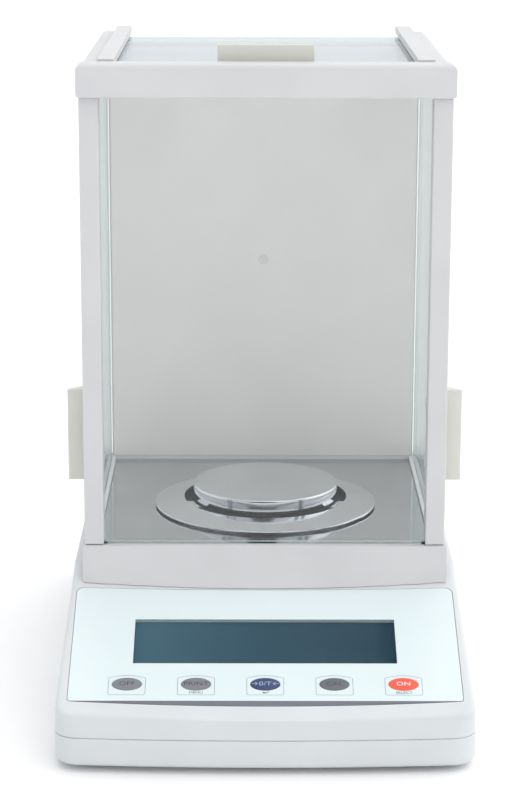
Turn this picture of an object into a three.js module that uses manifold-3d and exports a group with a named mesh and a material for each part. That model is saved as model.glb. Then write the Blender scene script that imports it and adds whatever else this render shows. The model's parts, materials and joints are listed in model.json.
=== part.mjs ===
// Analytical balance with a glass draft shield, in millimetres, +Z up, front towards -Y.
// The origin is on the table, under the middle of the base.
import * as THREE from "three";
import { mergeVertices } from "three/addons/utils/BufferGeometryUtils.js";
import Module from "manifold-3d";

const wasm = await Module();
wasm.setup();

// ---- Driving dimensions -------------------------------------------------

const GAP = 0.3; // clearance between neighbouring pieces
const PLASTIC_WALL = 2.6;

const BASE = {
  halfWidth: 107.5,
  front: -170,
  rear: 170,
  bow: 4.5, // how far the middle of the front stands ahead of its ends
  bottom: 3.2,
  split: 18.6, // the joint between tray and housing
  deck: 78.1,
  deckHalfWidth: 103,
  cornerRadius: 13,
  slopeEdgeRadius: 3.5,
};
const SPLIT_GAP = 0.4;

const SLOPE_ANGLE = THREE.MathUtils.degToRad(21.8);
const SLOPE_TOP = new THREE.Vector3(0, -74.6, 67.9); // middle of the keypad's top edge
const SLOPE_END_Y = -70; // where the slope turns up to the deck
const DECK_FRONT_Y = -59;

const KEYPAD = {
  halfWidth: 100.6,
  length: 88.4,
  bottomBow: 3.7,
  topBow: 1.9,
  thickness: 0.8,
  topRadius: 4,
  bottomRadius: 1.8,
};
const DISPLAY = { halfWidth: 68.4, top: -25.6, bottom: -60.1, depth: 1.9 };
const KEY = { pitch: 35.4, y: -75.9, width: 15.2, height: 9.2, proud: 0.35, depth: 3 };

const PAN = { x: 1, y: 20.6, top: 100.8, radius: 41.2, skirt: 8.3, sheet: 1.2 };
const RING = { outer: 62.9, inner: 46.4, top: 92.3, rim: 89.2, sheet: 0.8, tabWidth: 13.4 };

const CHAMBER = {
  floor: 87.4,
  front: -68.2,
  rear: 141.6,
  halfWidth: 98,
  baseTop: 89.3,
  topBottom: 330.5,
  channelTop: 346.1,
  railTop: 349.3,
};
const PANEL = { y: 116.3, thickness: 3, halfWidth: 91.2, flange: 10 };
const POST = { inner: 86.6, outer: 96.9, front: -66.4, depth: 12 };
const DOOR = { inner: 92.3, thickness: 2.7, front: -53.5, rear: 117, bottom: 84.8, top: 337 };
const TOP_DOOR = { halfWidth: 86.3, front: -57.4, rear: 119.5, bottom: 341.8, thickness: 3 };
const RAIL = { inner: 78.8, outer: 87.6, web: 0.9, rear: 142, flange: 2.5 };
const FRONT_GLASS = { halfWidth: 88.4, y: -64, thickness: 3, bottom: 90.5 };
const HANDLE = { length: 50.4, reach: 11.3, root: 13, tip: 2, nutSpacing: 31.8 };
const SIDE_HANDLE = { y: -39.6, z: 145.5 };
const TOP_HANDLE_Y = -45.5;
const NUT = { radius: 4, height: 4.5, stud: 1.6 };

const FRONT_FEET = { x: 78, y: -140, radius: 9 };
const REAR_FEET = { x: 85, y: 145, padRadius: 9, wheelRadius: 12.5, studRadius: 3 };
const SCREWS = { x: 95, front: -128, rear: 100, head: 3.6, shank: 1.6, boss: 5, bossTop: 38 };
const INLET = { x: -52, z: 37, width: 28, height: 22, depth: 22 };
const STEM_HOLE = 9; // radius of the way through the deck for the pan's stem
const SERIAL = { x: 53, z: 36, width: 31, height: 12.5, depth: 12 };

// ---- Materials ----------------------------------------------------------

const material = (color, roughness, metalness = 0, opacity = 1) =>
  new THREE.MeshStandardMaterial({ color, roughness, metalness, opacity, transparent: opacity < 1 });

const LOOKS = {
  housing: material(0xeef0f1, 0.42),
  shield: material(0xdcdcde, 0.45),
  overlay: material(0xecf3f5, 0.3),
  handle: material(0xd8d7d0, 0.4),
  glass: material(0xdfe9ea, 0.03, 0, 0.25),
  window: material(0xd0dadd, 0.05, 0, 0.3),
  display: material(0x2d4b5a, 0.3),
  steel: material(0xb9bbbf, 0.2, 1),
  aluminium: material(0xa9adb1, 0.45, 1),
  zinc: material(0x8f9499, 0.5, 1),
  copper: material(0xb46a3c, 0.4, 1),
  board: material(0x1f6b3c, 0.55),
  black: material(0x17181a, 0.6),
  rubber: material(0x1b1b1c, 0.85),
  keyGrey: material(0x86878f, 0.4),
  keyBlue: material(0x2d3c69, 0.4),
  keyDark: material(0x6e7175, 0.4),
  keyRed: material(0xfa5a41, 0.4),
};

// ---- Geometry helpers ---------------------------------------------------

const balance = new THREE.Group();

// A closed geometry as a manifold-3d solid.
function solid(geometry) {
  const bare = geometry.clone();
  for (const name of Object.keys(bare.attributes)) {
    if (name !== "position") bare.deleteAttribute(name);
  }
  const merged = mergeVertices(bare, 1e-4);
  const index = merged.index.array;
  const triangles = [];
  for (let i = 0; i < index.length; i += 3) {
    const [a, b, c] = [index[i], index[i + 1], index[i + 2]];
    if (a !== b && b !== c && c !== a) triangles.push(a, b, c);
  }
  const mesh = new wasm.Mesh({
    numProp: 3,
    vertProperties: new Float32Array(merged.attributes.position.array),
    triVerts: new Uint32Array(triangles),
  });
  return new wasm.Manifold(mesh);
}

// A manifold-3d solid as a geometry with flat faces.
function geometryOf(body) {
  const mesh = body.getMesh();
  const geometry = new THREE.BufferGeometry();
  geometry.setAttribute("position", new THREE.BufferAttribute(mesh.vertProperties, 3));
  geometry.setIndex(new THREE.BufferAttribute(mesh.triVerts, 1));
  geometry.computeVertexNormals();
  return geometry;
}

const union = (...bodies) => bodies.reduce((all, body) => all.add(body));
const cut = (body, ...tools) => tools.reduce((rest, tool) => rest.subtract(tool), body);

function addPart(name, body, look, parent = balance) {
  const mesh = new THREE.Mesh(geometryOf(body), look);
  mesh.name = name;
  parent.add(mesh);
  return mesh;
}

// A box given by its lowest and highest coordinates.
function block(x0, x1, y0, y1, z0, z1) {
  const geometry = new THREE.BoxGeometry(x1 - x0, y1 - y0, z1 - z0);
  geometry.translate((x0 + x1) / 2, (y0 + y1) / 2, (z0 + z1) / 2);
  return solid(geometry);
}

// An upright cylinder.
function post(x, y, z0, z1, radius, segments = 16) {
  const geometry = new THREE.CylinderGeometry(radius, radius, z1 - z0, segments);
  geometry.rotateX(Math.PI / 2);
  geometry.translate(x, y, (z0 + z1) / 2);
  return solid(geometry);
}

// A solid of revolution about an upright axis; the profile holds [radius, z] points.
function turned(profile, x, y, segments = 48) {
  const points = profile.map(([radius, z]) => new THREE.Vector2(radius, z));
  const geometry = new THREE.LatheGeometry(points, segments);
  geometry.rotateX(Math.PI / 2);
  geometry.translate(x, y, 0);
  return solid(geometry);
}

// A shape in local X and Y, pulled along local Z.
function pulled(shape, z0, z1, curveSegments = 6) {
  const options = { depth: z1 - z0, bevelEnabled: false, curveSegments };
  return solid(new THREE.ExtrudeGeometry(shape, options).translate(0, 0, z0));
}

// A cross-section drawn in Y and Z, pulled along X.
function pulledAlongX(shape, x0, x1, curveSegments = 6) {
  const options = { depth: x1 - x0, bevelEnabled: false, curveSegments };
  const geometry = new THREE.ExtrudeGeometry(shape, options);
  const axes = new THREE.Matrix4().set(0, 0, 1, x0, 1, 0, 0, 0, 0, 1, 0, 0, 0, 0, 0, 1);
  return solid(geometry.applyMatrix4(axes));
}

// A cross-section drawn in X and Z, pulled along Y.
function pulledAlongY(shape, y0, y1, curveSegments = 6) {
  const options = { depth: y1 - y0, bevelEnabled: false, curveSegments };
  const geometry = new THREE.ExtrudeGeometry(shape, options);
  const axes = new THREE.Matrix4().set(1, 0, 0, 0, 0, 0, -1, y1, 0, 1, 0, 0, 0, 0, 0, 1);
  return solid(geometry.applyMatrix4(axes));
}

function polygon(points) {
  return new THREE.Shape(points.map(([a, b]) => new THREE.Vector2(a, b)));
}

// A rectangle with one corner radius for its top corners and one for its bottom ones.
function roundedRectangle(x0, x1, y0, y1, topRadius, bottomRadius) {
  const shape = new THREE.Shape();
  shape.moveTo(x0 + bottomRadius, y0);
  shape.lineTo(x1 - bottomRadius, y0);
  shape.absarc(x1 - bottomRadius, y0 + bottomRadius, bottomRadius, -Math.PI / 2, 0);
  shape.absarc(x1 - topRadius, y1 - topRadius, topRadius, 0, Math.PI / 2);
  shape.absarc(x0 + topRadius, y1 - topRadius, topRadius, Math.PI / 2, Math.PI);
  shape.absarc(x0 + bottomRadius, y0 + bottomRadius, bottomRadius, Math.PI, 1.5 * Math.PI);
  return shape;
}

function ellipse(x, y, width, height) {
  return new THREE.Shape().absellipse(x, y, width / 2, height / 2, 0, 2 * Math.PI);
}

// A solid through closed rings of equal point count, anticlockwise from above, lowest first.
function loft(rings) {
  const count = rings[0].length;
  const positions = rings.flat().flatMap((p) => [p.x, p.y, p.z]);
  const index = [];
  for (let ring = 0; ring < rings.length - 1; ring++) {
    for (let i = 0; i < count; i++) {
      const a = ring * count + i;
      const b = ring * count + ((i + 1) % count);
      index.push(a, b, b + count, a, b + count, a + count);
    }
  }
  const flat = (ring) => ring.map((p) => new THREE.Vector2(p.x, p.y));
  const last = (rings.length - 1) * count;
  for (const [a, b, c] of THREE.ShapeUtils.triangulateShape(flat(rings[0]), [])) {
    index.push(c, b, a);
  }
  for (const [a, b, c] of THREE.ShapeUtils.triangulateShape(flat(rings.at(-1)), [])) {
    index.push(last + a, last + b, last + c);
  }
  const geometry = new THREE.BufferGeometry();
  geometry.setAttribute("position", new THREE.Float32BufferAttribute(positions, 3));
  geometry.setIndex(index);
  return solid(geometry);
}

// Makes something on both sides: calls a function with -1 and "left", then +1 and "right".
function bothSides(make) {
  make(-1, "left");
  make(1, "right");
}

const sorted = (a, b) => (a < b ? [a, b] : [b, a]);

// A box whose X limits are given for the right side; side -1 mirrors it.
function sideBlock(side, x0, x1, y0, y1, z0, z1) {
  const [low, high] = sorted(side * x0, side * x1);
  return block(low, high, y0, y1, z0, z1);
}

// ---- The body's outer form ----------------------------------------------

const slopeTangent = Math.tan(SLOPE_ANGLE);
const slopeYAt = (z) => SLOPE_TOP.y + (z - SLOPE_TOP.z) / slopeTangent;
const SLOPE_END_Z = SLOPE_TOP.z + (SLOPE_END_Y - SLOPE_TOP.y) * slopeTangent;

// The larger of two values, with the corner between them rounded off.
function roundedMax(a, b, softness) {
  const high = Math.max(a, b);
  return high + softness * Math.log(Math.exp((a - high) / softness) + Math.exp((b - high) / softness));
}

// The body's half-width at a height: straight tray, housing drawn in towards the deck.
function halfWidthAt(z) {
  const rise = Math.max(0, z - BASE.split) / (BASE.deck - BASE.split);
  return THREE.MathUtils.lerp(BASE.halfWidth, BASE.deckHalfWidth, rise);
}

// The front edge at a place across and a height; skin draws it inwards.
function frontAt(x, z, skin) {
  const bowed = BASE.front + BASE.bow * (x / BASE.halfWidth) ** 2 + skin;
  const level = z + skin / Math.cos(SLOPE_ANGLE);
  if (level <= SLOPE_END_Z) return roundedMax(bowed, slopeYAt(level), 1.6);
  const rise = Math.min(1, (level - SLOPE_END_Z) / (BASE.deck - SLOPE_END_Z));
  return THREE.MathUtils.lerp(SLOPE_END_Y, DECK_FRONT_Y, rise ** 0.7);
}

// One level ring of the body, drawn in by an inset and, for the inside, by the wall.
// The front corners are broad on the upright front and tight along the slope's sides.
function bodyRing(z, inset, skin) {
  const halfWidth = halfWidthAt(z) - inset - skin;
  const rear = BASE.rear - inset - skin;
  const sharpening = THREE.MathUtils.smoothstep(z, 26, 35);
  const frontRadius =
    THREE.MathUtils.lerp(BASE.cornerRadius, BASE.slopeEdgeRadius, sharpening) - Math.min(inset, 2);
  const rearRadius = BASE.cornerRadius - inset;
  const reach = halfWidth - frontRadius;
  const rearReach = halfWidth - rearRadius;
  const ring = [];
  const frontSteps = 10;
  const cornerSteps = 3;
  const corner = (x, y, start, radius) => {
    for (let i = 0; i <= cornerSteps; i++) {
      const angle = start + (Math.PI / 2) * (i / cornerSteps);
      ring.push(new THREE.Vector3(x + radius * Math.cos(angle), y + radius * Math.sin(angle), z));
    }
  };
  const front = (x) => frontAt(x, z, skin) + inset;
  corner(-reach, front(-reach) + frontRadius, Math.PI, frontRadius);
  for (let i = 1; i < frontSteps; i++) {
    const x = THREE.MathUtils.lerp(-reach, reach, i / frontSteps);
    ring.push(new THREE.Vector3(x, front(x), z));
  }
  corner(reach, front(reach) + frontRadius, 1.5 * Math.PI, frontRadius);
  corner(rearReach, rear - rearRadius, 0, rearRadius);
  corner(-rearReach, rear - rearRadius, Math.PI / 2, rearRadius);
  return ring;
}

// The housing's outer form, or with a skin its hollow.
function housingForm(skin) {
  const bottom = skin ? BASE.split - 2 : BASE.split + SPLIT_GAP / 2;
  const lift = -skin / Math.cos(SLOPE_ANGLE);
  const levels = [bottom, 27, 30, 32, 34.5, 39, SLOPE_END_Z, 71.5, 74.5];
  const rings = levels.map((z, i) => bodyRing(i ? z + lift : z, 0, skin));
  const top = BASE.deck - skin;
  if (skin) rings.push(bodyRing(top, 0, skin));
  else rings.push(bodyRing(top - 0.4, 0.4, 0), bodyRing(top, 1.4, 0));
  return loft(rings);
}

// ---- Base tray ----------------------------------------------------------

const splitLow = BASE.split - SPLIT_GAP / 2;
const splitHigh = BASE.split + SPLIT_GAP / 2;
const trayFloor = BASE.bottom + PLASTIC_WALL;
const FOOT_POCKET = { radius: 15, ceiling: 11.5, bossRadius: 7, bossTop: 30 };

function forEachScrew(visit) {
  let count = 0;
  for (const y of [SCREWS.front, SCREWS.rear]) {
    for (const side of [-1, 1]) visit(side, side * SCREWS.x, y, ++count);
  }
}

function makeTray() {
  // [height above the tray's bottom, how far the wall is drawn in]
  const edge = [[0, 3], [0.6, 1.5], [1.6, 0.6], [3, 0.1], [5, 0]];
  const outerRings = edge.map(([rise, inset]) => bodyRing(BASE.bottom + rise, inset, 0));
  outerRings.push(bodyRing(splitLow, 0, 0));
  const inner = [[0, 5], [2, 2], [5, 0]];
  const innerRings = inner.map(([rise, inset]) => bodyRing(trayFloor + rise, inset, PLASTIC_WALL));
  innerRings.push(bodyRing(splitLow + 1, 0, PLASTIC_WALL));
  let tray = cut(loft(outerRings), loft(innerRings));
  bothSides((side) => {
    const [x, y] = [side * REAR_FEET.x, REAR_FEET.y];
    const housing = post(x, y, BASE.bottom + 1, FOOT_POCKET.ceiling + 2.5, FOOT_POCKET.radius + 2.5);
    const boss = post(x, y, FOOT_POCKET.ceiling + 1, FOOT_POCKET.bossTop, FOOT_POCKET.bossRadius);
    const pocket = post(x, y, BASE.bottom - 1, FOOT_POCKET.ceiling, FOOT_POCKET.radius);
    const thread = post(x, y, BASE.bottom, FOOT_POCKET.bossTop + 1, REAR_FEET.studRadius + GAP);
    tray = cut(union(tray, housing, boss), pocket, thread);
  });
  forEachScrew((side, x, y) => {
    const boss = post(x, y, trayFloor - 1, splitLow, SCREWS.boss);
    const rib = sideBlock(side, SCREWS.x, BASE.halfWidth - 1, y - 1.5, y + 1.5, trayFloor + 2, splitLow);
    const counterbore = post(x, y, BASE.bottom - 1, BASE.bottom + 4, SCREWS.head + GAP);
    const hole = post(x, y, BASE.bottom, splitLow + 1, SCREWS.shank + 0.6);
    tray = cut(union(tray, boss, rib), counterbore, hole);
  });
  return tray;
}

addPart("base_tray", makeTray(), LOOKS.housing);

// ---- Upper housing and the control panel ---------------------------------

// The control panel's own frame: X across, Y up the slope, Z out of it.
const panel = new THREE.Group();
panel.position.copy(SLOPE_TOP);
panel.rotation.x = SLOPE_ANGLE;
balance.add(panel);
panel.updateMatrixWorld(true);
const onPanel = (body) => solid(geometryOf(body).applyMatrix4(panel.matrixWorld));

// The keypad sheet's outline, grown all round by a margin.
function keypadOutline(margin) {
  const half = KEYPAD.halfWidth + margin;
  const top = margin;
  const bottom = -KEYPAD.length - margin;
  const [rt, rb] = [KEYPAD.topRadius, KEYPAD.bottomRadius];
  const shape = new THREE.Shape();
  shape.moveTo(-half + rb, bottom);
  shape.quadraticCurveTo(0, bottom - 2 * KEYPAD.bottomBow, half - rb, bottom);
  shape.absarc(half - rb, bottom + rb, rb, -Math.PI / 2, 0);
  shape.absarc(half - rt, top - rt, rt, 0, Math.PI / 2);
  shape.quadraticCurveTo(0, top - 2 * KEYPAD.topBow, -half + rt, top);
  shape.absarc(-half + rt, top - rt, rt, Math.PI / 2, Math.PI);
  shape.absarc(-half + rb, bottom + rb, rb, Math.PI, 1.5 * Math.PI);
  return shape;
}

function displayOpening(margin, z0, z1) {
  const half = DISPLAY.halfWidth + margin;
  return block(-half, half, DISPLAY.bottom - margin, DISPLAY.top + margin, z0, z1);
}

function keySolid(x, margin, z0, z1) {
  const shape = ellipse(x, KEY.y, KEY.width + 2 * margin, KEY.height + 2 * margin);
  return pulled(shape, z0, z1, 18);
}

const KEYS = [
  { name: "key_off", slot: -2, look: LOOKS.keyGrey },
  { name: "key_print", slot: -1, look: LOOKS.keyGrey },
  { name: "key_tare", slot: 0, look: LOOKS.keyBlue },
  { name: "key_cal", slot: 1, look: LOOKS.keyDark },
  { name: "key_on", slot: 2, look: LOOKS.keyRed },
];

const POCKET_DEPTH = KEYPAD.thickness + GAP;

function makeHousing() {
  let housing = cut(housingForm(0), housingForm(PLASTIC_WALL));
  forEachScrew((side, x, y) => {
    const { boss: radius, bossTop } = SCREWS;
    const boss = post(x, y, splitHigh, bossTop, radius);
    const wall = halfWidthAt(bossTop) - 1;
    const rib = sideBlock(side, SCREWS.x, wall, y - 1.5, y + 1.5, splitHigh, bossTop);
    housing = cut(union(housing, boss, rib), post(x, y, splitHigh - 1, 32, SCREWS.shank + GAP));
  });
  const pocket = pulled(keypadOutline(0.35), -POCKET_DEPTH, 8, 8);
  housing = cut(housing, onPanel(pocket), onPanel(displayOpening(0, -8, 1)));
  for (const key of KEYS) {
    housing = cut(housing, onPanel(keySolid(key.slot * KEY.pitch, GAP, -8, 1)));
  }
  const opening = (port) =>
    block(port.x - port.width / 2 - GAP, port.x + port.width / 2 + GAP, BASE.rear - 10, BASE.rear + 1,
      port.z - port.height / 2 - GAP, port.z + port.height / 2 + GAP);
  const stemHole = post(PAN.x, PAN.y, BASE.deck - 6, BASE.deck + 1, STEM_HOLE);
  return cut(housing, opening(INLET), opening(SERIAL), stemHole);
}

addPart("upper_housing", makeHousing(), LOOKS.housing);

function makeKeypad() {
  let sheet = pulled(keypadOutline(0), -KEYPAD.thickness, 0, 8);
  sheet = cut(sheet, displayOpening(0, -2, 1));
  for (const key of KEYS) {
    sheet = cut(sheet, keySolid(key.slot * KEY.pitch, 0.2, -2, 1));
  }
  return sheet;
}

addPart("keypad_overlay", makeKeypad(), LOOKS.overlay, panel);
addPart("display_window", displayOpening(-0.2, -KEYPAD.thickness, -0.05), LOOKS.window, panel);
addPart("lcd_panel", displayOpening(-GAP, -DISPLAY.depth - 3, -DISPLAY.depth), LOOKS.display, panel);
for (const key of KEYS) {
  addPart(key.name, keySolid(key.slot * KEY.pitch, 0, -KEY.depth, KEY.proud), key.look, panel);
}

function makeDisplayBoard() {
  const [low, high] = [-9.5, -7.9];
  let board = block(-84, 84, -82, -8, low, high);
  for (const key of KEYS) {
    const x = key.slot * KEY.pitch;
    board = board.add(block(x - 3, x + 3, KEY.y - 3, KEY.y + 3, high - 0.5, -KEY.depth - 0.9));
  }
  const holder = DISPLAY.halfWidth - 3;
  return board.add(block(-holder, holder, DISPLAY.bottom + 3, DISPLAY.top - 3, high - 0.5, -5.3));
}

addPart("display_board", makeDisplayBoard(), LOOKS.board, panel);

// ---- Screws, feet -------------------------------------------------------

forEachScrew((side, x, y, number) => {
  const head = post(x, y, BASE.bottom + 1, BASE.bottom + 3.7, SCREWS.head, 16);
  const shank = post(x, y, BASE.bottom + 3, 30, SCREWS.shank, 12);
  addPart(`housing_screw_${number}`, union(head, shank), LOOKS.zinc);
});

bothSides((side, word) => {
  const profile = [[0, 0], [FRONT_FEET.radius - 0.6, 0], [FRONT_FEET.radius, 0.6],
    [FRONT_FEET.radius, BASE.bottom - GAP], [0, BASE.bottom - GAP]];
  addPart(`${word}_front_foot`, turned(profile, side * FRONT_FEET.x, FRONT_FEET.y, 24), LOOKS.rubber);
});

bothSides((side, word) => {
  const [x, y] = [side * REAR_FEET.x, REAR_FEET.y];
  const padTop = 2.6;
  const wheelBottom = padTop + GAP;
  const wheelTop = FOOT_POCKET.ceiling - 1.5;
  const padRadius = REAR_FEET.padRadius;
  const pad = [[0, 0], [padRadius - 0.6, 0], [padRadius, 0.6], [padRadius, padTop], [0, padTop]];
  addPart(`${word}_foot_pad`, turned(pad, x, y, 24), LOOKS.rubber);
  const wheel = post(x, y, wheelBottom, wheelTop, REAR_FEET.wheelRadius, 28);
  const stud = post(x, y, wheelTop - 1, FOOT_POCKET.bossTop - 2, REAR_FEET.studRadius, 16);
  addPart(`${word}_foot_screw`, union(wheel, stud), LOOKS.zinc);
});

// ---- Draft shield: lower frame ------------------------------------------

// The front bar leans out towards its bottom edge, which follows the bowed keypad.
function makeFrontBar() {
  const steps = 12;
  const back = -58;
  const cutoff = 62;
  const round = 1.5;
  const top = CHAMBER.baseTop;
  const rings = [];
  for (let i = 0; i <= steps; i++) {
    const x = THREE.MathUtils.lerp(CHAMBER.halfWidth, -CHAMBER.halfWidth, i / steps);
    const foot = -71 - 4.6 * (1 - (x / CHAMBER.halfWidth) ** 2);
    const lean = (foot - CHAMBER.front) / (top - round - 68);
    const lowest = CHAMBER.front + lean * (top - round - cutoff);
    const section = [[back, cutoff], [lowest, cutoff], [CHAMBER.front, top - round],
      [CHAMBER.front + 0.45, top - 0.45], [CHAMBER.front + round, top], [back, top]];
    rings.push(section.map(([y, z]) => new THREE.Vector3(-y, z, -x)));
  }
  // The sections are stacked along local Z; this turns the stack to run along X.
  const turn = new THREE.Matrix4().set(0, 0, -1, 0, -1, 0, 0, 0, 0, 1, 0, 0, 0, 0, 0, 1);
  return solid(geometryOf(loft(rings)).applyMatrix4(turn));
}

const WELL = { radius: 47, wall: 2.5, floor: 1.6 };
const PLATE = { halfWidth: 89.5, front: -62.5, rear: 115.8, thickness: 1, hole: 45 };
const GROOVE = { inner: DOOR.inner - GAP, outer: DOOR.inner + DOOR.thickness + GAP };
const shieldFloor = BASE.deck + SPLIT_GAP;

function makeShieldBase() {
  const half = CHAMBER.halfWidth;
  const slab = block(-half, half, -60, CHAMBER.rear, shieldFloor, CHAMBER.baseTop);
  let frame = union(slab, makeFrontBar());
  const housing = solid(geometryOf(housingForm(0)).translate(0, 0, SPLIT_GAP));
  const plateSeat = block(-PLATE.halfWidth - GAP, PLATE.halfWidth + GAP, PLATE.front - GAP,
    PLATE.rear + GAP, CHAMBER.floor - PLATE.thickness - GAP, CHAMBER.baseTop + 1);
  const well = post(PAN.x, PAN.y, shieldFloor - 1, CHAMBER.baseTop, WELL.radius + GAP, 36);
  frame = cut(frame, housing, plateSeat, well);
  bothSides((side) => {
    const groove = sideBlock(side, GROOVE.inner, GROOVE.outer, DOOR.front - GAP, CHAMBER.rear + 1,
      DOOR.bottom - GAP, CHAMBER.baseTop + 1);
    frame = cut(frame, groove);
  });
  return frame;
}

addPart("shield_base_frame", makeShieldBase(), LOOKS.shield);

const plateSlab = block(-PLATE.halfWidth, PLATE.halfWidth, PLATE.front, PLATE.rear,
  CHAMBER.floor - PLATE.thickness, CHAMBER.floor);
const plateHole = post(PAN.x, PAN.y, CHAMBER.floor - 3, CHAMBER.floor + 1, PLATE.hole, 40);
addPart("floor_plate", cut(plateSlab, plateHole), LOOKS.steel);

const wellTop = CHAMBER.floor - PLATE.thickness - GAP;
const wellProfile = [
  [STEM_HOLE, shieldFloor],
  [WELL.radius, shieldFloor],
  [WELL.radius, wellTop],
  [WELL.radius - WELL.wall, wellTop],
  [WELL.radius - WELL.wall, shieldFloor + WELL.floor],
  [STEM_HOLE, shieldFloor + WELL.floor],
  [STEM_HOLE, shieldFloor],
];
addPart("pan_well", turned(wellProfile, PAN.x, PAN.y, 36), LOOKS.black);

// ---- Draft shield: posts, rear panel, top frame -------------------------

const pillarBottom = CHAMBER.baseTop + GAP;
const pillarTop = CHAMBER.topBottom - GAP;

bothSides((side, word) => {
  const rear = POST.front + POST.depth;
  const column = sideBlock(side, POST.inner, POST.outer, POST.front, rear, pillarBottom, pillarTop);
  const glassSlot = sideBlock(side, POST.inner - 1, FRONT_GLASS.halfWidth + GAP, FRONT_GLASS.y - GAP,
    FRONT_GLASS.y + FRONT_GLASS.thickness + GAP, pillarBottom - 1, pillarTop + 1);
  addPart(`${word}_front_post`, cut(column, glassSlot), LOOKS.shield);
});

const panelFace = block(-PANEL.halfWidth, PANEL.halfWidth, PANEL.y, PANEL.y + PANEL.thickness,
  pillarBottom, pillarTop);
const panelFlanges = [-1, 1].map((side) =>
  sideBlock(side, PANEL.halfWidth - 2.5, PANEL.halfWidth, PANEL.y + 1, PANEL.y + PANEL.flange,
    pillarBottom, pillarTop));
addPart("rear_panel", union(panelFace, ...panelFlanges), LOOKS.shield);

const glassTop = pillarTop;
addPart("front_glass", block(-FRONT_GLASS.halfWidth, FRONT_GLASS.halfWidth, FRONT_GLASS.y,
  FRONT_GLASS.y + FRONT_GLASS.thickness, FRONT_GLASS.bottom, glassTop), LOOKS.glass);
bothSides((side, word) => {
  const pad = sideBlock(side, FRONT_GLASS.halfWidth - 3.6, FRONT_GLASS.halfWidth, FRONT_GLASS.y,
    FRONT_GLASS.y + FRONT_GLASS.thickness, pillarBottom, FRONT_GLASS.bottom - 0.2);
  addPart(`${word}_glass_pad`, pad, LOOKS.rubber);
});

const TOP_BAR = { top: 348.2, front: -71.1, back: -58, round: 3.5, endRadius: 4, footRadius: 2.2 };
const LEDGE_TOP = 338.6;
const CROSSBAR = { front: 114, rear: 128 }; // joins the two channels behind the rear panel

function makeTopBar() {
  const half = CHAMBER.halfWidth;
  const { top, front, back, round } = TOP_BAR;
  const face = roundedRectangle(-half, half, CHAMBER.topBottom, top, TOP_BAR.endRadius,
    TOP_BAR.footRadius);
  const section = new THREE.Shape();
  section.moveTo(back, CHAMBER.topBottom);
  section.lineTo(back, top);
  section.lineTo(front + round, top);
  section.absarc(front + round, top - round, round, Math.PI / 2, Math.PI);
  section.lineTo(front, CHAMBER.topBottom + 0.8);
  section.lineTo(front + 0.8, CHAMBER.topBottom);
  return pulledAlongY(face, front - 1, back).intersect(pulledAlongX(section, -half - 1, half + 1));
}

function makeTopFrame() {
  let frame = makeTopBar();
  const outer = CHAMBER.halfWidth - 1;
  const inner = RAIL.outer + GAP;
  const round = 2.8;
  bothSides((side) => {
    const channel = new THREE.Shape();
    channel.moveTo(side * inner, CHAMBER.topBottom);
    channel.lineTo(side * outer, CHAMBER.topBottom);
    channel.lineTo(side * outer, CHAMBER.channelTop - round);
    channel.absarc(side * (outer - round), CHAMBER.channelTop - round, round,
      side > 0 ? 0 : Math.PI, Math.PI / 2, side < 0);
    channel.lineTo(side * inner, CHAMBER.channelTop);
    const bar = pulledAlongY(channel, TOP_BAR.back - 1, CHAMBER.rear);
    const ledge = sideBlock(side, RAIL.inner, inner + 1, TOP_BAR.back - 1, CHAMBER.rear,
      CHAMBER.topBottom, LEDGE_TOP);
    const groove = sideBlock(side, GROOVE.inner, GROOVE.outer, DOOR.front - GAP, CHAMBER.rear + 1,
      CHAMBER.topBottom - 1, DOOR.top + GAP);
    frame = cut(union(frame, bar, ledge), groove);
  });
  const { front, rear } = CROSSBAR;
  const crossbar = block(-inner - 1, inner + 1, front, rear, CHAMBER.topBottom, LEDGE_TOP);
  const sill = block(-RAIL.inner + GAP, RAIL.inner - GAP, front, rear, LEDGE_TOP - 1,
    TOP_DOOR.bottom - 0.5);
  return union(frame, crossbar, sill);
}

addPart("top_frame", makeTopFrame(), LOOKS.shield);

bothSides((side, word) => {
  const low = LEDGE_TOP + GAP;
  const web = RAIL.outer - RAIL.web;
  const lip = TOP_DOOR.bottom + TOP_DOOR.thickness + 0.4;
  const section = polygon([
    [RAIL.inner, low], [RAIL.outer, low], [RAIL.outer, CHAMBER.railTop], [RAIL.inner, CHAMBER.railTop],
    [RAIL.inner, lip], [web, lip], [web, low + RAIL.flange], [RAIL.inner, low + RAIL.flange],
  ].map(([x, z]) => [side * x, z]));
  addPart(`${word}_top_rail`, pulledAlongY(section, TOP_BAR.back + GAP, RAIL.rear), LOOKS.shield);
});

// ---- Sliding doors ------------------------------------------------------

// A handle fin in its own frame: root in the XY plane, reach along +Z, length along X,
// flat face towards -Y. Two blind holes in the root take the nuts' studs.
function handleFin() {
  const { root, tip, reach, length } = HANDLE;
  const section = polygon([[-root / 2, 0], [root / 2, 0], [-root / 2 + tip, reach], [-root / 2, reach]]);
  const fin = pulledAlongX(section, -length / 2, length / 2);
  const holes = [-1, 1].map((end) => post(end * HANDLE.nutSpacing / 2, 0, -1, 4.5, NUT.stud + GAP, 12));
  return cut(fin, ...holes);
}

// A knurled nut in the handle's frame, inside the glass, its stud running through to the handle.
function handleNut(end, glassThickness) {
  const x = end * HANDLE.nutSpacing / 2;
  const face = -glassThickness - 2 * GAP;
  const head = post(x, 0, face - NUT.height, face, NUT.radius, 16);
  return union(head, post(x, 0, face - 1, 4, NUT.stud, 12));
}

// Adds a handle and its nuts to a door, in a frame whose +Z points out of the glass.
function addHandle(word, frame, glassThickness, ends) {
  addPart(`${word}_door_handle`, handleFin(), LOOKS.handle, frame);
  for (const [end, place] of [[-1, ends[0]], [1, ends[1]]]) {
    addPart(`${word}_door_nut_${place}`, handleNut(end, glassThickness), LOOKS.handle, frame);
  }
}

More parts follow.
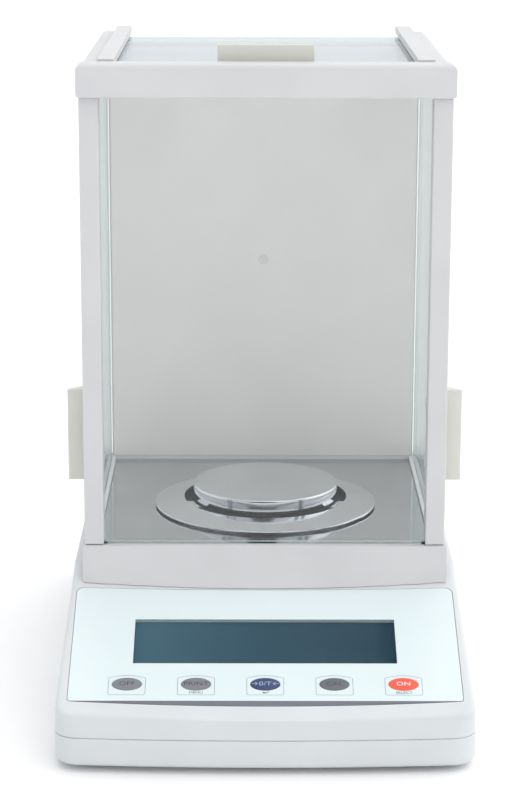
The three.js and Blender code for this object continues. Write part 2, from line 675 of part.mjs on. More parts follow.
// A glass with the two holes that the nuts' studs pass through.
function drilledGlass(glass, frame) {
  frame.updateMatrixWorld(true);
  const drills = [-1, 1].map((end) => {
    const drill = post(end * HANDLE.nutSpacing / 2, 0, -6, 1, NUT.stud + 0.4, 12);
    return solid(geometryOf(drill).applyMatrix4(frame.matrixWorld));
  });
  return cut(glass, ...drills);
}

bothSides((side, word) => {
  const frame = new THREE.Group();
  frame.position.set(side * (DOOR.inner + DOOR.thickness + GAP), SIDE_HANDLE.y, SIDE_HANDLE.z);
  // The handle's X runs up the door and its Z points away from the chamber.
  const up = new THREE.Vector3(0, 0, side < 0 ? 1 : -1);
  const out = new THREE.Vector3(side, 0, 0);
  frame.setRotationFromMatrix(new THREE.Matrix4().makeBasis(up, out.clone().cross(up), out));
  balance.add(frame);
  const glass = sideBlock(side, DOOR.inner, DOOR.inner + DOOR.thickness, DOOR.front, DOOR.rear,
    DOOR.bottom, DOOR.top);
  addPart(`${word}_door_glass`, drilledGlass(glass, frame), LOOKS.glass);
  addHandle(word, frame, DOOR.thickness, side < 0 ? ["low", "high"] : ["high", "low"]);
});

const topHandle = new THREE.Group();
topHandle.position.set(0, TOP_HANDLE_Y, TOP_DOOR.bottom + TOP_DOOR.thickness + GAP);
balance.add(topHandle);
const topGlass = block(-TOP_DOOR.halfWidth, TOP_DOOR.halfWidth, TOP_DOOR.front, TOP_DOOR.rear,
  TOP_DOOR.bottom, TOP_DOOR.bottom + TOP_DOOR.thickness);
addPart("top_door_glass", drilledGlass(topGlass, topHandle), LOOKS.glass);
addHandle("top", topHandle, TOP_DOOR.thickness, ["left", "right"]);

// ---- Weighing pan and shield ring ---------------------------------------

const SPIGOT = { radius: 4, top: 98.4, flangeRadius: 12, flangeTop: 93.2, flangeBottom: 90.6 };

function makePan() {
  const under = PAN.top - PAN.sheet;
  const inside = PAN.radius - PAN.sheet;
  const bossBottom = SPIGOT.flangeTop + GAP;
  const socket = SPIGOT.radius + GAP;
  const profile = [
    [0, SPIGOT.top + GAP], [socket, SPIGOT.top + GAP], [socket, bossBottom], [socket + 4, bossBottom],
    [socket + 4, under], [inside, under], [inside, PAN.top - PAN.skirt], [PAN.radius, PAN.top - PAN.skirt],
    [PAN.radius, PAN.top - 0.8], [PAN.radius - 0.25, PAN.top - 0.2], [PAN.radius - 0.8, PAN.top],
    [0, PAN.top],
  ];
  return turned(profile, PAN.x, PAN.y, 40);
}

addPart("weighing_pan", makePan(), LOOKS.steel);

const RING_HUB = { outer: 31, inner: 21, top: 90 };

function makeRing() {
  const { outer, inner, top, rim, sheet } = RING;
  const skirt = turned([[inner, top], [inner, top - sheet], [outer, rim - sheet], [outer, rim],
    [inner, top]], PAN.x, PAN.y, 48);
  const hub = turned([[RING_HUB.inner, RING_HUB.top], [RING_HUB.inner, RING_HUB.top - sheet],
    [RING_HUB.outer, RING_HUB.top - sheet], [RING_HUB.outer, RING_HUB.top],
    [RING_HUB.inner, RING_HUB.top]], PAN.x, PAN.y, 24);
  const [start, end] = [RING_HUB.outer - 1.5, inner + 0.5];
  const section = polygon([[start, RING_HUB.top - sheet], [end, top - sheet], [end, top],
    [start, RING_HUB.top]]);
  const tabs = [-24, 90, 204].map((degrees) => {
    const half = RING.tabWidth / 2;
    const tab = geometryOf(pulledAlongY(section, -half, half));
    tab.rotateZ(THREE.MathUtils.degToRad(degrees));
    return solid(tab.translate(PAN.x, PAN.y, 0));
  });
  return union(skirt, hub, ...tabs);
}

addPart("shield_ring", makeRing(), LOOKS.steel);

// ---- Weighing cell ------------------------------------------------------

const CHASSIS = { halfWidth: 62, front: -130, rear: 160, bottom: 9.2, top: 10.7 };
const CELL = { halfWidth: 20, front: 40, rear: 117, bottom: CHASSIS.top + GAP, top: 62 };
const MAGNET = { y: 139, radius: 20, top: 52, grooveInner: 8, grooveOuter: 13.5, grooveFloor: 30 };
const COIL = { inner: 9.4, outer: 12, bottom: 36 };
const BEAM = { halfWidth: 4, front: 37, bottom: 54, top: 59 };
const YOKE = { halfWidth: 14, front: 8.6, rear: 32.6, bottom: 38, top: 60 };

addPart("chassis_plate", block(-CHASSIS.halfWidth, CHASSIS.halfWidth, CHASSIS.front, CHASSIS.rear,
  CHASSIS.bottom, CHASSIS.top), LOOKS.zinc);

const carrierStem = turned([[0, YOKE.top - 2], [4, YOKE.top - 2], [4, SPIGOT.flangeBottom],
  [SPIGOT.flangeRadius, SPIGOT.flangeBottom], [SPIGOT.flangeRadius, SPIGOT.flangeTop],
  [SPIGOT.radius, SPIGOT.flangeTop], [SPIGOT.radius, SPIGOT.top], [0, SPIGOT.top]], PAN.x, PAN.y, 28);
const yoke = block(-YOKE.halfWidth, YOKE.halfWidth, YOKE.front, YOKE.rear, YOKE.bottom, YOKE.top);
addPart("pan_carrier", union(yoke, carrierStem), LOOKS.aluminium);

const cellBlock = block(-CELL.halfWidth, CELL.halfWidth, CELL.front, CELL.rear, CELL.bottom, CELL.top);
const cellPocket = block(-13, 13, CELL.front + 10, CELL.rear - 9, 34, CELL.top + 1);
const beamSlot = block(-7, 7, CELL.front - 1, CELL.rear + 1, 48, CELL.top + 1);
addPart("load_cell_frame", cut(cellBlock, cellPocket, beamSlot), LOOKS.aluminium);

const magnetProfile = [[0, CELL.bottom], [MAGNET.radius, CELL.bottom], [MAGNET.radius, MAGNET.top],
  [MAGNET.grooveOuter, MAGNET.top], [MAGNET.grooveOuter, MAGNET.grooveFloor],
  [MAGNET.grooveInner, MAGNET.grooveFloor], [MAGNET.grooveInner, MAGNET.top], [0, MAGNET.top]];
addPart("magnet_pot", turned(magnetProfile, 0, MAGNET.y, 32), LOOKS.zinc);

const coil = turned([[COIL.inner, COIL.bottom], [COIL.outer, COIL.bottom], [COIL.outer, BEAM.top],
  [COIL.inner, BEAM.top], [COIL.inner, COIL.bottom]], 0, MAGNET.y, 28);
const beam = block(-BEAM.halfWidth, BEAM.halfWidth, BEAM.front, MAGNET.y - COIL.inner - 1,
  BEAM.bottom, BEAM.top);
addPart("balance_beam", union(beam, coil), LOOKS.copper);

// ---- Electronics and rear fittings --------------------------------------

const mainBoard = block(24, 88, 16, 118, 14, 15.6);
// [x, y, width, length, height] of the parts that stand on the board
const boardParts = [[36, 34, 12, 12, 3], [60, 40, 20, 14, 4], [80, 70, 10, 10, 14], [62, 96, 24, 10, 9],
  [40, 78, 14, 22, 5]].map(([x, y, width, length, height]) =>
  block(x - width / 2, x + width / 2, y - length / 2, y + length / 2, 15, 15.6 + height));
addPart("main_board", union(mainBoard, ...boardParts), LOOKS.board);

const core = block(-58, -26, 46, 100, CELL.bottom, 56);
const windings = block(-60, -24, 56, 90, 18, 50);
addPart("transformer", union(core, windings), LOOKS.zinc);

const rearFace = BASE.rear - 0.2;
const inletBody = block(INLET.x - INLET.width / 2, INLET.x + INLET.width / 2, rearFace - INLET.depth,
  rearFace, INLET.z - INLET.height / 2, INLET.z + INLET.height / 2);
const inletSocket = block(INLET.x - 11.5, INLET.x + 11.5, rearFace - 13, rearFace + 1,
  INLET.z - 7.5, INLET.z + 7.5);
addPart("power_inlet", cut(inletBody, inletSocket), LOOKS.black);

const serialBody = block(SERIAL.x - SERIAL.width / 2, SERIAL.x + SERIAL.width / 2,
  rearFace - SERIAL.depth, rearFace - 1, SERIAL.z - SERIAL.height / 2, SERIAL.z + SERIAL.height / 2);
const serialNose = block(SERIAL.x - 8.5, SERIAL.x + 8.5, rearFace - 2, rearFace, SERIAL.z - 4, SERIAL.z + 4);
addPart("serial_port", union(serialBody, serialNose), LOOKS.zinc);

const VIAL = { x: 62, y: 155, radius: 9, height: 4.4 };
const vialBottom = BASE.deck + GAP;
const vialProfile = [[0, 0], [VIAL.radius, 0], [VIAL.radius, VIAL.height - 1],
  [VIAL.radius - 1, VIAL.height], [0, VIAL.height]];
addPart("level_vial", turned(vialProfile.map(([radius, z]) => [radius, vialBottom + z]),
  VIAL.x, VIAL.y, 28), LOOKS.window);

export default balance;
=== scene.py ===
"""Looks for the analytical balance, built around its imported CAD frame."""
import json
import math

import bpy
from mathutils import Matrix, Vector

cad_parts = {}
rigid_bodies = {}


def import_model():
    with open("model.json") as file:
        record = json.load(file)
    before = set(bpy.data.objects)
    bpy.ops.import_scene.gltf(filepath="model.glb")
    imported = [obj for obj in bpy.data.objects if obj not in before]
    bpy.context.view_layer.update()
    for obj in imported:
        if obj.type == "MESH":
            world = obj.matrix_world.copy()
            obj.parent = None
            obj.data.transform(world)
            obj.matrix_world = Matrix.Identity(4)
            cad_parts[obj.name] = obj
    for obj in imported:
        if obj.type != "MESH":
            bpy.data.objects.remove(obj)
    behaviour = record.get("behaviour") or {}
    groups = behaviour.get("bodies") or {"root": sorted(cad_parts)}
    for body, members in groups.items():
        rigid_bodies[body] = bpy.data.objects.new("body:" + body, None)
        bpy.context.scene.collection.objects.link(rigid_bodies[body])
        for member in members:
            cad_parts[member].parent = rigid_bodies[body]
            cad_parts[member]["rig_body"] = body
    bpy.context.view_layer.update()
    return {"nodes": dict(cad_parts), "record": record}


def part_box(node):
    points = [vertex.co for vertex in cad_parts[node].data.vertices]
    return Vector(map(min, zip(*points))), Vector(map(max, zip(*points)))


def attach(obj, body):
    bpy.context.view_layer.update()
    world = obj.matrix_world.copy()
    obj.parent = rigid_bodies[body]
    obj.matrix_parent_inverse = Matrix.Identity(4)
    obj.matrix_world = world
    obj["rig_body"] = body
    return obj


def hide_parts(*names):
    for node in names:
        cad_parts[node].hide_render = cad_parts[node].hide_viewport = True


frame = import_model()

scene = bpy.context.scene
MM = 0.001

# ---- Driving dimensions, in millimetres in the row frame --------------------


def box_mm(node):
    """Lowest and highest corner of a CAD node, in millimetres."""
    low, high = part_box(node)
    return low / MM, high / MM


def span_mm(node):
    """Lowest corner, highest corner and centre of a CAD node, in millimetres."""
    low, high = box_mm(node)
    return low, high, (low + high) / 2


HOUSING_LOW, HOUSING_HIGH = box_mm("upper_housing")
TRAY_LOW, TRAY_HIGH = box_mm("base_tray")
PAN_LOW, PAN_HIGH = box_mm("weighing_pan")
RING_LOW, RING_HIGH = box_mm("shield_ring")
PANEL_LOW, PANEL_HIGH = box_mm("rear_panel")

HALF_WIDTH = TRAY_HIGH.x
FRONT = TRAY_LOW.y
REAR = TRAY_HIGH.y
BOTTOM = TRAY_LOW.z
DECK = HOUSING_HIGH.z
SPLIT = HOUSING_LOW.z - 0.2
DECK_HALF_WIDTH = 103
BOW = 4.5
WALL = 2.6
CORNER = 13
SLOPE_EDGE = 3.5
SHARPENING = (26, 35)  # heights between which the front corners tighten
SLOPE_BLEND = 1.6  # how softly the bowed front turns into the slope

SLOPE_ANGLE = math.radians(21.8)
SLOPE_TOP = Vector((0, -74.6, 67.9))
SLOPE_END_Y = -70
DECK_FRONT_Y = -59
SLOPE_END_Z = SLOPE_TOP.z + (SLOPE_END_Y - SLOPE_TOP.y) * math.tan(SLOPE_ANGLE)

KEYPAD_HALF = 100.6
KEYPAD_LENGTH = 88.4
KEYPAD_BOWS = (3.7, 1.9)  # of the bottom and the top edge
KEYPAD_RADII = (1.8, 4)
FILM = 0.8
DISPLAY_HALF = 68.4
DISPLAY_TOP = -25.6
DISPLAY_BOTTOM = -60.1
KEY_PITCH = 35.4
KEY_Y = -75.9
KEY_SIZE = (15.2, 9.2)
KEY_PROUD = 0.35
KEY_DEPTH = 3
KEYS = ["key_off", "key_print", "key_tare", "key_cal", "key_on"]

GATE_MARK_Z = 212
PAN_CENTRE = (PAN_LOW + PAN_HIGH) / 2
PAN_RADIUS = (PAN_HIGH.x - PAN_LOW.x) / 2
RING_RADIUS = (RING_HIGH.x - RING_LOW.x) / 2
RING_SHEET = 0.8
RING_RIM = RING_LOW.z + RING_SHEET
RING_INNER = 46.4
HUB_RADIUS = 31.0
HUB_BORE = 21.0
HUB_TOP = 90.0
TAB_HALF = 6.7
TAB_DEGREES = (-24, 90, 204)

# The control panel's own frame, in millimetres and in metres: X across, Y up the slope, Z out of it.
IN_PANEL = Matrix.Translation(SLOPE_TOP) @ Matrix.Rotation(SLOPE_ANGLE, 4, "X")
PANEL_FRAME = Matrix.Translation(SLOPE_TOP * MM) @ Matrix.Rotation(SLOPE_ANGLE, 4, "X")

# ---- Camera, floor, light ----------------------------------------------------


def make_camera():
    """The photograph's view: a long lens, looking down a little, almost square on."""
    pitch, yaw, roll = 0.2388, 0.0045, 0.0028
    forward = Vector((math.sin(yaw) * math.cos(pitch), math.cos(yaw) * math.cos(pitch), -math.sin(pitch)))
    level = Vector((math.cos(yaw), -math.sin(yaw), 0))
    upright = level.cross(forward)
    right = level * math.cos(roll) + upright * math.sin(roll)
    up = upright * math.cos(roll) - level * math.sin(roll)
    data = bpy.data.cameras.new("camera")
    data.sensor_fit = "AUTO"
    data.sensor_width = 36
    data.lens = 105.98
    data.shift_y = -0.0135
    data.clip_start = 0.05
    data.clip_end = 60
    camera = bpy.data.objects.new("camera", data)
    scene.collection.objects.link(camera)
    turn = Matrix((right, up, -forward)).transposed().to_4x4()
    camera.matrix_world = Matrix.Translation((-0.0095, -1.2804, 0.4715)) @ turn
    scene.camera = camera


def make_sun(name, source, strength, angle, colour=(1, 1, 1), mirrored=True):
    """A very soft sun that shines from a place towards the origin, shown in polished metal or not."""
    data = bpy.data.lights.new(name, "SUN")
    data.energy = strength
    data.angle = math.radians(angle)
    data.color = colour
    lamp = bpy.data.objects.new(name, data)
    scene.collection.objects.link(lamp)
    lamp.visible_glossy = mirrored
    lamp.matrix_world = (-Vector(source)).to_track_quat("-Z", "Y").to_matrix().to_4x4()


def make_world():
    """A pale studio round the object, darker on the photographer's side."""
    world = bpy.data.worlds.new("studio")
    world.use_nodes = True
    scene.world = world
    tree = world.node_tree
    direction = coords(tree, "Generated")
    front = ranged(tree, axis_of(tree, direction, "Y"), (-1.0, 0.1), (0.52, 0.92))
    height = ranged(tree, axis_of(tree, direction, "Z"), (0.0, 0.8), (0.0, 0.16))
    sides = ranged(tree, axis_of(tree, direction, "X"), (-0.8, 0.8), (-0.06, 0.14))
    # The dark patch is the unlit room behind the camera.
    squashed = add_node(tree, "Mapping", {"Vector": direction, "Scale": (1, 1, 0.5)}, "Vector")
    patch = {0: squashed, 1: (-0.08, -0.92, 0.17)}
    apart = add_node(tree, "VectorMath", patch, "Value", operation="DISTANCE")
    room = ranged(tree, apart, (0.32, 0.42), (0.06, 1.0))
    total = front
    for operation, part in (("ADD", height), ("ADD", sides), ("MULTIPLY", room)):
        total = add_node(tree, "Math", {0: total, 1: part}, 0, operation=operation)
    feed(tree, tree.nodes["Background"], {"Color": (0.975, 0.985, 1.0, 1), "Strength": total})


def make_stage():
    """A plain pale floor, far wider than the view."""
    reach = 30
    corners = [(-reach, -reach, 0), (reach, -reach, 0), (reach, reach, 0), (-reach, reach, 0)]
    mesh = bpy.data.meshes.new("floor")
    mesh.from_pydata(corners, [], [(0, 1, 2, 3)])
    floor = bpy.data.objects.new("floor", mesh)
    scene.collection.objects.link(floor)
    mesh.materials.append(plastic("floor", (0.94, 0.94, 0.945), (0.955, 0.955, 0.96), (0.7, 0.8), 300, 0.02))


# ---- Material building blocks --------------------------------------------------


def feed(tree, node, inputs):
    """Sets a node's inputs, each to a value or to another node's output."""
    for socket, value in inputs.items():
        if isinstance(value, bpy.types.NodeSocket):
            tree.links.new(value, node.inputs[socket])
        else:
            node.inputs[socket].default_value = value


def add_node(tree, kind, inputs, output=None, **settings):
    """A new shader node with its settings and inputs: the node, or the output that is asked for."""
    node = tree.nodes.new("ShaderNode" + kind)
    for setting, value in settings.items():
        setattr(node, setting, value)
    feed(tree, node, inputs)
    return node if output is None else node.outputs[output]


def ranged(tree, source, old, new):
    """A value mapped linearly from one range to another, held at its ends."""
    inputs = {"Value": source, "From Min": old[0], "From Max": old[1], "To Min": new[0], "To Max": new[1]}
    return add_node(tree, "MapRange", inputs, "Result")


def blank(name):
    """A new node material: the material, its tree and its Principled shader."""
    look = bpy.data.materials.new(name)
    look.use_nodes = True
    return look, look.node_tree, look.node_tree.nodes["Principled BSDF"]


def coords(tree, output="Object"):
    return add_node(tree, "TexCoord", {}, output)


def noise(tree, scale, detail=2, stretch=(1, 1, 1)):
    """Noise in the object's own coordinates, scale in features per metre."""
    place = add_node(tree, "Mapping", {"Vector": coords(tree), "Scale": stretch}, "Vector")
    return add_node(tree, "TexNoise", {"Vector": place, "Scale": scale, "Detail": detail}, "Fac")


def ramp(tree, source, *stops):
    """A colour ramp; each stop is (place, (r, g, b))."""
    node = add_node(tree, "ValToRGB", {"Fac": source})
    elements = node.color_ramp.elements
    while len(elements) < len(stops):
        elements.new(0.5)
    for element, (place, colour) in zip(elements, stops):
        element.position = place
        element.color = (*colour, 1)
    return node.outputs["Color"]


def axis_of(tree, source, axis):
    """One coordinate of a vector: X, Y or Z."""
    return add_node(tree, "SeparateXYZ", {0: source}, axis)


def mixed(tree, factor, a, b):
    """Colour a where the factor is 0 and colour b where it is 1."""
    return add_node(tree, "Mix", {"Factor": factor, "A": a, "B": b}, "Result", data_type="RGBA")


def mixed_shader(tree, factor, a, b):
    """Shader a where the factor is 0 and shader b where it is 1."""
    return add_node(tree, "MixShader", {"Fac": factor, 1: a, 2: b}, 0)


def add_bump(tree, shader, height, depth_mm):
    """Fine relief of a given depth from a height."""
    relief = add_node(tree, "Bump", {"Distance": depth_mm * MM, "Height": height}, "Normal")
    feed(tree, shader, {"Normal": relief})


def plastic(name, low, high, roughness, grain, depth_mm):
    """Moulded plastic: cloudy colour, a fine spark-eroded grain, uneven gloss."""
    look, tree, shader = blank(name)
    colour = ramp(tree, noise(tree, 24, 3), (0.35, low), (0.65, high))
    gloss = ranged(tree, noise(tree, 90, 4), (0.3, 0.7), roughness)
    feed(tree, shader, {"Base Color": colour, "Roughness": gloss})
    add_bump(tree, shader, noise(tree, grain, 3), depth_mm)
    return look


def metal(name, low, high, roughness, grain, depth_mm, stretch=(1, 1, 1)):
    """Sheet or cut metal: the grain is stretched along the way it was rolled or cut."""
    look, tree, shader = blank(name)
    colour = ramp(tree, noise(tree, 16, 4), (0.3, low), (0.7, high))
    streaks = noise(tree, grain, 4, stretch)
    gloss = ranged(tree, streaks, (0.3, 0.7), roughness)
    feed(tree, shader, {"Metallic": 1, "Base Color": colour, "Roughness": gloss})
    add_bump(tree, shader, streaks, depth_mm)
    return look


def turned_metal(name, centre, low, high, roughness, depth_mm):
    """Polished metal with faint rings about an upright axis, as a lathe leaves them."""
    look, tree, shader = blank(name)
    inputs = {"Vector": coords(tree), "Location": (-centre.x * MM, -centre.y * MM, 0), "Scale": (1, 1, 0)}
    across = add_node(tree, "Mapping", inputs, "Vector")
    radius = add_node(tree, "VectorMath", {0: across}, "Value", operation="LENGTH")
    inputs = {"W": radius, "Scale": 2600, "Detail": 3}
    rings = add_node(tree, "TexNoise", inputs, "Fac", noise_dimensions="1D")
    colour = ramp(tree, noise(tree, 20, 3), (0.3, low), (0.7, high))
    gloss = ranged(tree, rings, (0.3, 0.7), roughness)
    feed(tree, shader, {"Metallic": 1, "Base Color": colour, "Roughness": gloss})
    add_bump(tree, shader, rings, depth_mm)
    return look


def clear_sheet(name, axis, tint, haze=0.0, mirror_low=0.035):
    """Clear sheet with its faces across one axis: it mirrors more at a slant, and its edges are frosted."""
    look, tree, shader = blank(name)
    edge = ramp(tree, noise(tree, 400, 3), (0.3, (0.42, 0.56, 0.53)), (0.7, (0.56, 0.68, 0.65)))
    feed(tree, shader, {"Base Color": edge, "Roughness": 0.35})
    clear = add_node(tree, "BsdfTransparent", {"Color": (*tint, 1)}, 0)
    mirror = add_node(tree, "BsdfGlossy", {"Color": (0.93, 0.95, 0.96, 1), "Roughness": 0.015}, 0)
    facing = add_node(tree, "LayerWeight", {"Blend": 0.5}, "Facing")
    slant = add_node(tree, "Math", {0: facing, 1: 5}, 0, operation="POWER")
    dust = ranged(tree, noise(tree, 14, 4), (0.4, 0.75), (haze, haze + 0.012))
    pane = mixed_shader(tree, ranged(tree, slant, (0, 1), (mirror_low, 0.95)), clear, mirror)
    dusty = mixed_shader(tree, dust, pane, shader.outputs[0])
    frosted = mixed_shader(tree, 0.55, clear, shader.outputs[0])
    normal = axis_of(tree, coords(tree, "Normal"), axis)
    squareness = add_node(tree, "Math", {0: normal}, 0, operation="ABSOLUTE")
    face = ranged(tree, squareness, (0.6, 0.9), (0, 1))
    feed(tree, tree.nodes["Material Output"], {"Surface": mixed_shader(tree, face, frosted, dusty)})
    return look


def overlay_film():
    """White printed film with a grey strip along its bowed bottom edge."""
    look, tree, shader = blank("overlay_film")
    white = ramp(tree, noise(tree, 30, 3), (0.2, (0.690, 0.775, 0.785)), (0.8, (0.704, 0.789, 0.799)))
    grey = ramp(tree, noise(tree, 900, 2), (0.35, (0.130, 0.138, 0.172)), (0.65, (0.150, 0.158, 0.192)))
    line = -KEYPAD_LENGTH + 0.2
    above = ranged(tree, axis_of(tree, coords(tree), "Y"), ((line - 0.1) * MM, line * MM), (0, 1))
    gloss = ranged(tree, noise(tree, 150, 3), (0.3, 0.7), (0.32, 0.36))
    feed(tree, shader, {"Base Color": mixed(tree, above, grey, white), "Roughness": gloss,
                        "Coat Weight": 0.15, "Coat Roughness": 0.12})
    add_bump(tree, shader, noise(tree, 2500, 2), 0.002)
    return look


def display_glass():
    """Dark display glass with painted light and shade: paler to the left, where the light gets under the
    window, and darker towards its top, painted shade from the recess it sits in.
    """
    look, tree, shader = blank("lcd_glass")
    # Painted light: the colour pales towards the left, where the light gets under the window.
    across = ranged(tree, axis_of(tree, coords(tree), "X"), (-DISPLAY_HALF * MM, DISPLAY_HALF * MM), (0, 1))
    colour = ramp(tree, across, (0.0, (0.048, 0.118, 0.158)), (0.45, (0.020, 0.066, 0.102)),
                  (1.0, (0.003, 0.034, 0.060)))
    # Painted shade: the colour darkens towards the display's top edge, where the recess under the window
    # shades it.
    down = axis_of(tree, coords(tree), "Y")
    painted_top_shade = ranged(tree, down, ((DISPLAY_TOP - 9) * MM, DISPLAY_TOP * MM), (1.0, 0.55))
    shaded = add_node(tree, "VectorMath", {0: colour, "Scale": painted_top_shade}, 0, operation="SCALE")
    gloss = ranged(tree, noise(tree, 300, 3), (0.3, 0.7), (0.28, 0.36))
    feed(tree, shader, {"Base Color": shaded, "Roughness": gloss, "Specular IOR Level": 0.12})
    add_bump(tree, shader, noise(tree, 3000, 2), 0.003)
    return look


def circuit_board():
    """Green lacquer over copper tracks."""
    look, tree, shader = blank("circuit_board")
    inputs = {"Vector": coords(tree), "Scale": 260, "Mortar Size": 0.06, "Mortar": (0.05, 0.26, 0.09, 1),
              "Color1": (0.010, 0.13, 0.045, 1), "Color2": (0.014, 0.16, 0.055, 1)}
    bricks = add_node(tree, "TexBrick", inputs)
    gloss = ranged(tree, noise(tree, 500, 3), (0.3, 0.7), (0.3, 0.45))
    feed(tree, shader, {"Base Color": bricks.outputs["Color"], "Roughness": gloss})
    add_bump(tree, shader, bricks.outputs["Fac"], 0.03)
    return look


def beam_metal():
    """The beam's pale alloy, with the copper of its coil at the rear end."""
    look, tree, shader = blank("beam_alloy")
    coil = ranged(tree, axis_of(tree, coords(tree), "Y"), (0.1265, 0.1270), (0, 1))
    alloy = ramp(tree, noise(tree, 500, 3, (1, 0.1, 1)), (0.3, (0.50, 0.49, 0.46)), (0.7, (0.60, 0.58, 0.55)))
    copper = ramp(tree, noise(tree, 900, 2, (1, 1, 8)), (0.3, (0.60, 0.24, 0.10)), (0.7, (0.75, 0.34, 0.16)))
    gloss = ranged(tree, noise(tree, 300, 3), (0.3, 0.7), (0.3, 0.45))
    feed(tree, shader, {"Metallic": 1, "Base Color": mixed(tree, coil, alloy, copper), "Roughness": gloss})
    return look


# Each plastic: darkest and palest colour, roughness range, grain per metre, relief in millimetres.
PLASTICS = {
    "housing_plastic": ((0.625, 0.650, 0.660), (0.650, 0.675, 0.685), (0.36, 0.46), 1500, 0.012),
    "shield_plastic": ((0.595, 0.595, 0.605), (0.620, 0.620, 0.630), (0.38, 0.48), 1500, 0.012),
    "panel_plastic": ((0.695, 0.680, 0.665), (0.720, 0.705, 0.690), (0.5, 0.6), 1500, 0.01),
    "handle_plastic": ((0.665, 0.660, 0.610), (0.695, 0.690, 0.640), (0.34, 0.44), 1300, 0.010),
    "key_grey": ((0.185, 0.19, 0.215), (0.205, 0.21, 0.235), (0.3, 0.4), 2000, 0.008),
    "key_blue": ((0.022, 0.040, 0.13), (0.030, 0.050, 0.155), (0.3, 0.4), 2000, 0.008),
    "key_dark": ((0.120, 0.128, 0.148), (0.138, 0.146, 0.166), (0.3, 0.4), 2000, 0.008),
    "key_red": ((0.90, 0.085, 0.040), (0.98, 0.110, 0.055), (0.3, 0.4), 2000, 0.008),
    "rubber": ((0.010, 0.010, 0.011), (0.018, 0.018, 0.019), (0.7, 0.85), 1200, 0.03),
    "black_plastic": ((0.014, 0.014, 0.016), (0.022, 0.022, 0.024), (0.45, 0.6), 1500, 0.015),
    "ink_dark": ((0.045, 0.048, 0.06), (0.06, 0.063, 0.075), (0.4, 0.5), 2000, 0.002),
    "ink_line": ((0.20, 0.27, 0.38), (0.24, 0.31, 0.42), (0.4, 0.5), 2000, 0.002),
    "ink_pale": ((0.80, 0.80, 0.82), (0.86, 0.86, 0.88), (0.4, 0.5), 2000, 0.002),
    "ink_mist": ((0.34, 0.42, 0.52), (0.40, 0.48, 0.58), (0.4, 0.5), 2000, 0.002),
}
# Each metal: the same, and for some how far the grain is squeezed along X, Y and Z.
METALS = {
    "mirror_sheet": ((0.50, 0.520, 0.540), (0.56, 0.580, 0.600), (0.06, 0.11), 500, 0.001, (1, 0.25, 1)),
    "zinc_steel": ((0.40, 0.42, 0.44), (0.52, 0.54, 0.56), (0.28, 0.45), 600, 0.004),
    "aluminium": ((0.56, 0.57, 0.58), (0.66, 0.67, 0.68), (0.3, 0.42), 900, 0.006, (1, 0.15, 1)),
    "gold": ((0.78, 0.58, 0.26), (0.86, 0.66, 0.32), (0.2, 0.3), 900, 0.002),
}
LOOKS = {name: plastic(name, *facts) for name, facts in PLASTICS.items()}
LOOKS.update({name: metal(name, *facts) for name, facts in METALS.items()})
LOOKS["overlay_film"] = overlay_film()
LOOKS["lcd_glass"] = display_glass()
LOOKS["polished_steel"] = turned_metal(
    "polished_steel", PAN_CENTRE, (0.62, 0.635, 0.665), (0.70, 0.715, 0.745), (0.07, 0.13), 0.0012)
LOOKS["beam_alloy"] = beam_metal()
LOOKS["circuit_board"] = circuit_board()
LOOKS["window_film"] = clear_sheet("window_film", "Z", (0.94, 0.97, 0.98), 0.0, 0.006)
LOOKS["vial_acrylic"] = clear_sheet("vial_acrylic", "Z", (0.80, 0.93, 0.55), 0.05)
GLASS_TINTS = {"X": (0.970, 0.978, 0.975), "Y": (0.972, 0.978, 0.975), "Z": (0.925, 0.945, 0.955)}
GLASS = {axis: clear_sheet("clear_glass_" + axis.lower(), axis, tint) for axis, tint in GLASS_TINTS.items()}

# ---- Shapes ----------------------------------------------------------------------


class Shape:
    """Points in millimetres and faces, gathered piece by piece."""

    def __init__(self):
        self.points = []
        self.faces = []

    def add(self, points, faces, place=None):
        start = len(self.points)
        for point in points:
            point = Vector(point)
            self.points.append(place @ point if place else point)
        self.faces += [[start + i for i in face] for face in faces]
        return self

    def mesh(self, name):
        made = bpy.data.meshes.new(name)
        made.from_pydata([point * MM for point in self.points], [], self.faces)
        made.update()
        return made


def strips(ring_count, count, closed=True):
    """Quads between rings of equal point count, each ring after the one below it."""
    last = count if closed else count - 1
    return [
        [r * count + i, r * count + (i + 1) % count, (r + 1) * count + (i + 1) % count, (r + 1) * count + i]
        for r in range(ring_count - 1)
        for i in range(last)
    ]


def loft(rings):
    """A closed solid through rings, anticlockwise from above, lowest first: its points and faces."""
    count = len(rings[0])
    faces = strips(len(rings), count)
    faces.append(list(range(count - 1, -1, -1)))
    faces.append([(len(rings) - 1) * count + i for i in range(count)])
    return [point for ring in rings for point in ring], faces


def shell(outer, inner):
    """A solid shell open at the bottom, between an outer and an inner stack of rings."""
    count = len(outer[0])
    points = [point for ring in outer + inner for point in ring]
    faces = strips(len(outer), count)
    faces.append([(len(outer) - 1) * count + i for i in range(count)])
    base = len(outer) * count
    faces += [[base + i for i in reversed(face)] for face in strips(len(inner), count)]
    faces.append([base + (len(inner) - 1) * count + i for i in range(count - 1, -1, -1)])
    faces += [[(i + 1) % count, i, base + i, base + (i + 1) % count] for i in range(count)]
    return points, faces


def tub(outer, inner):
    """A solid shell open at the top, between an outer and an inner stack of rings."""
    count = len(outer[0])
    points = [point for ring in outer + inner for point in ring]
    faces = strips(len(outer), count)
    faces.append(list(range(count - 1, -1, -1)))
    base = len(outer) * count
    faces += [[base + i for i in reversed(face)] for face in strips(len(inner), count)]
    faces.append([base + i for i in range(count)])
    rim, lip = (len(outer) - 1) * count, base + (len(inner) - 1) * count
    faces += [[rim + i, rim + (i + 1) % count, lip + (i + 1) % count, lip + i] for i in range(count)]
    return points, faces


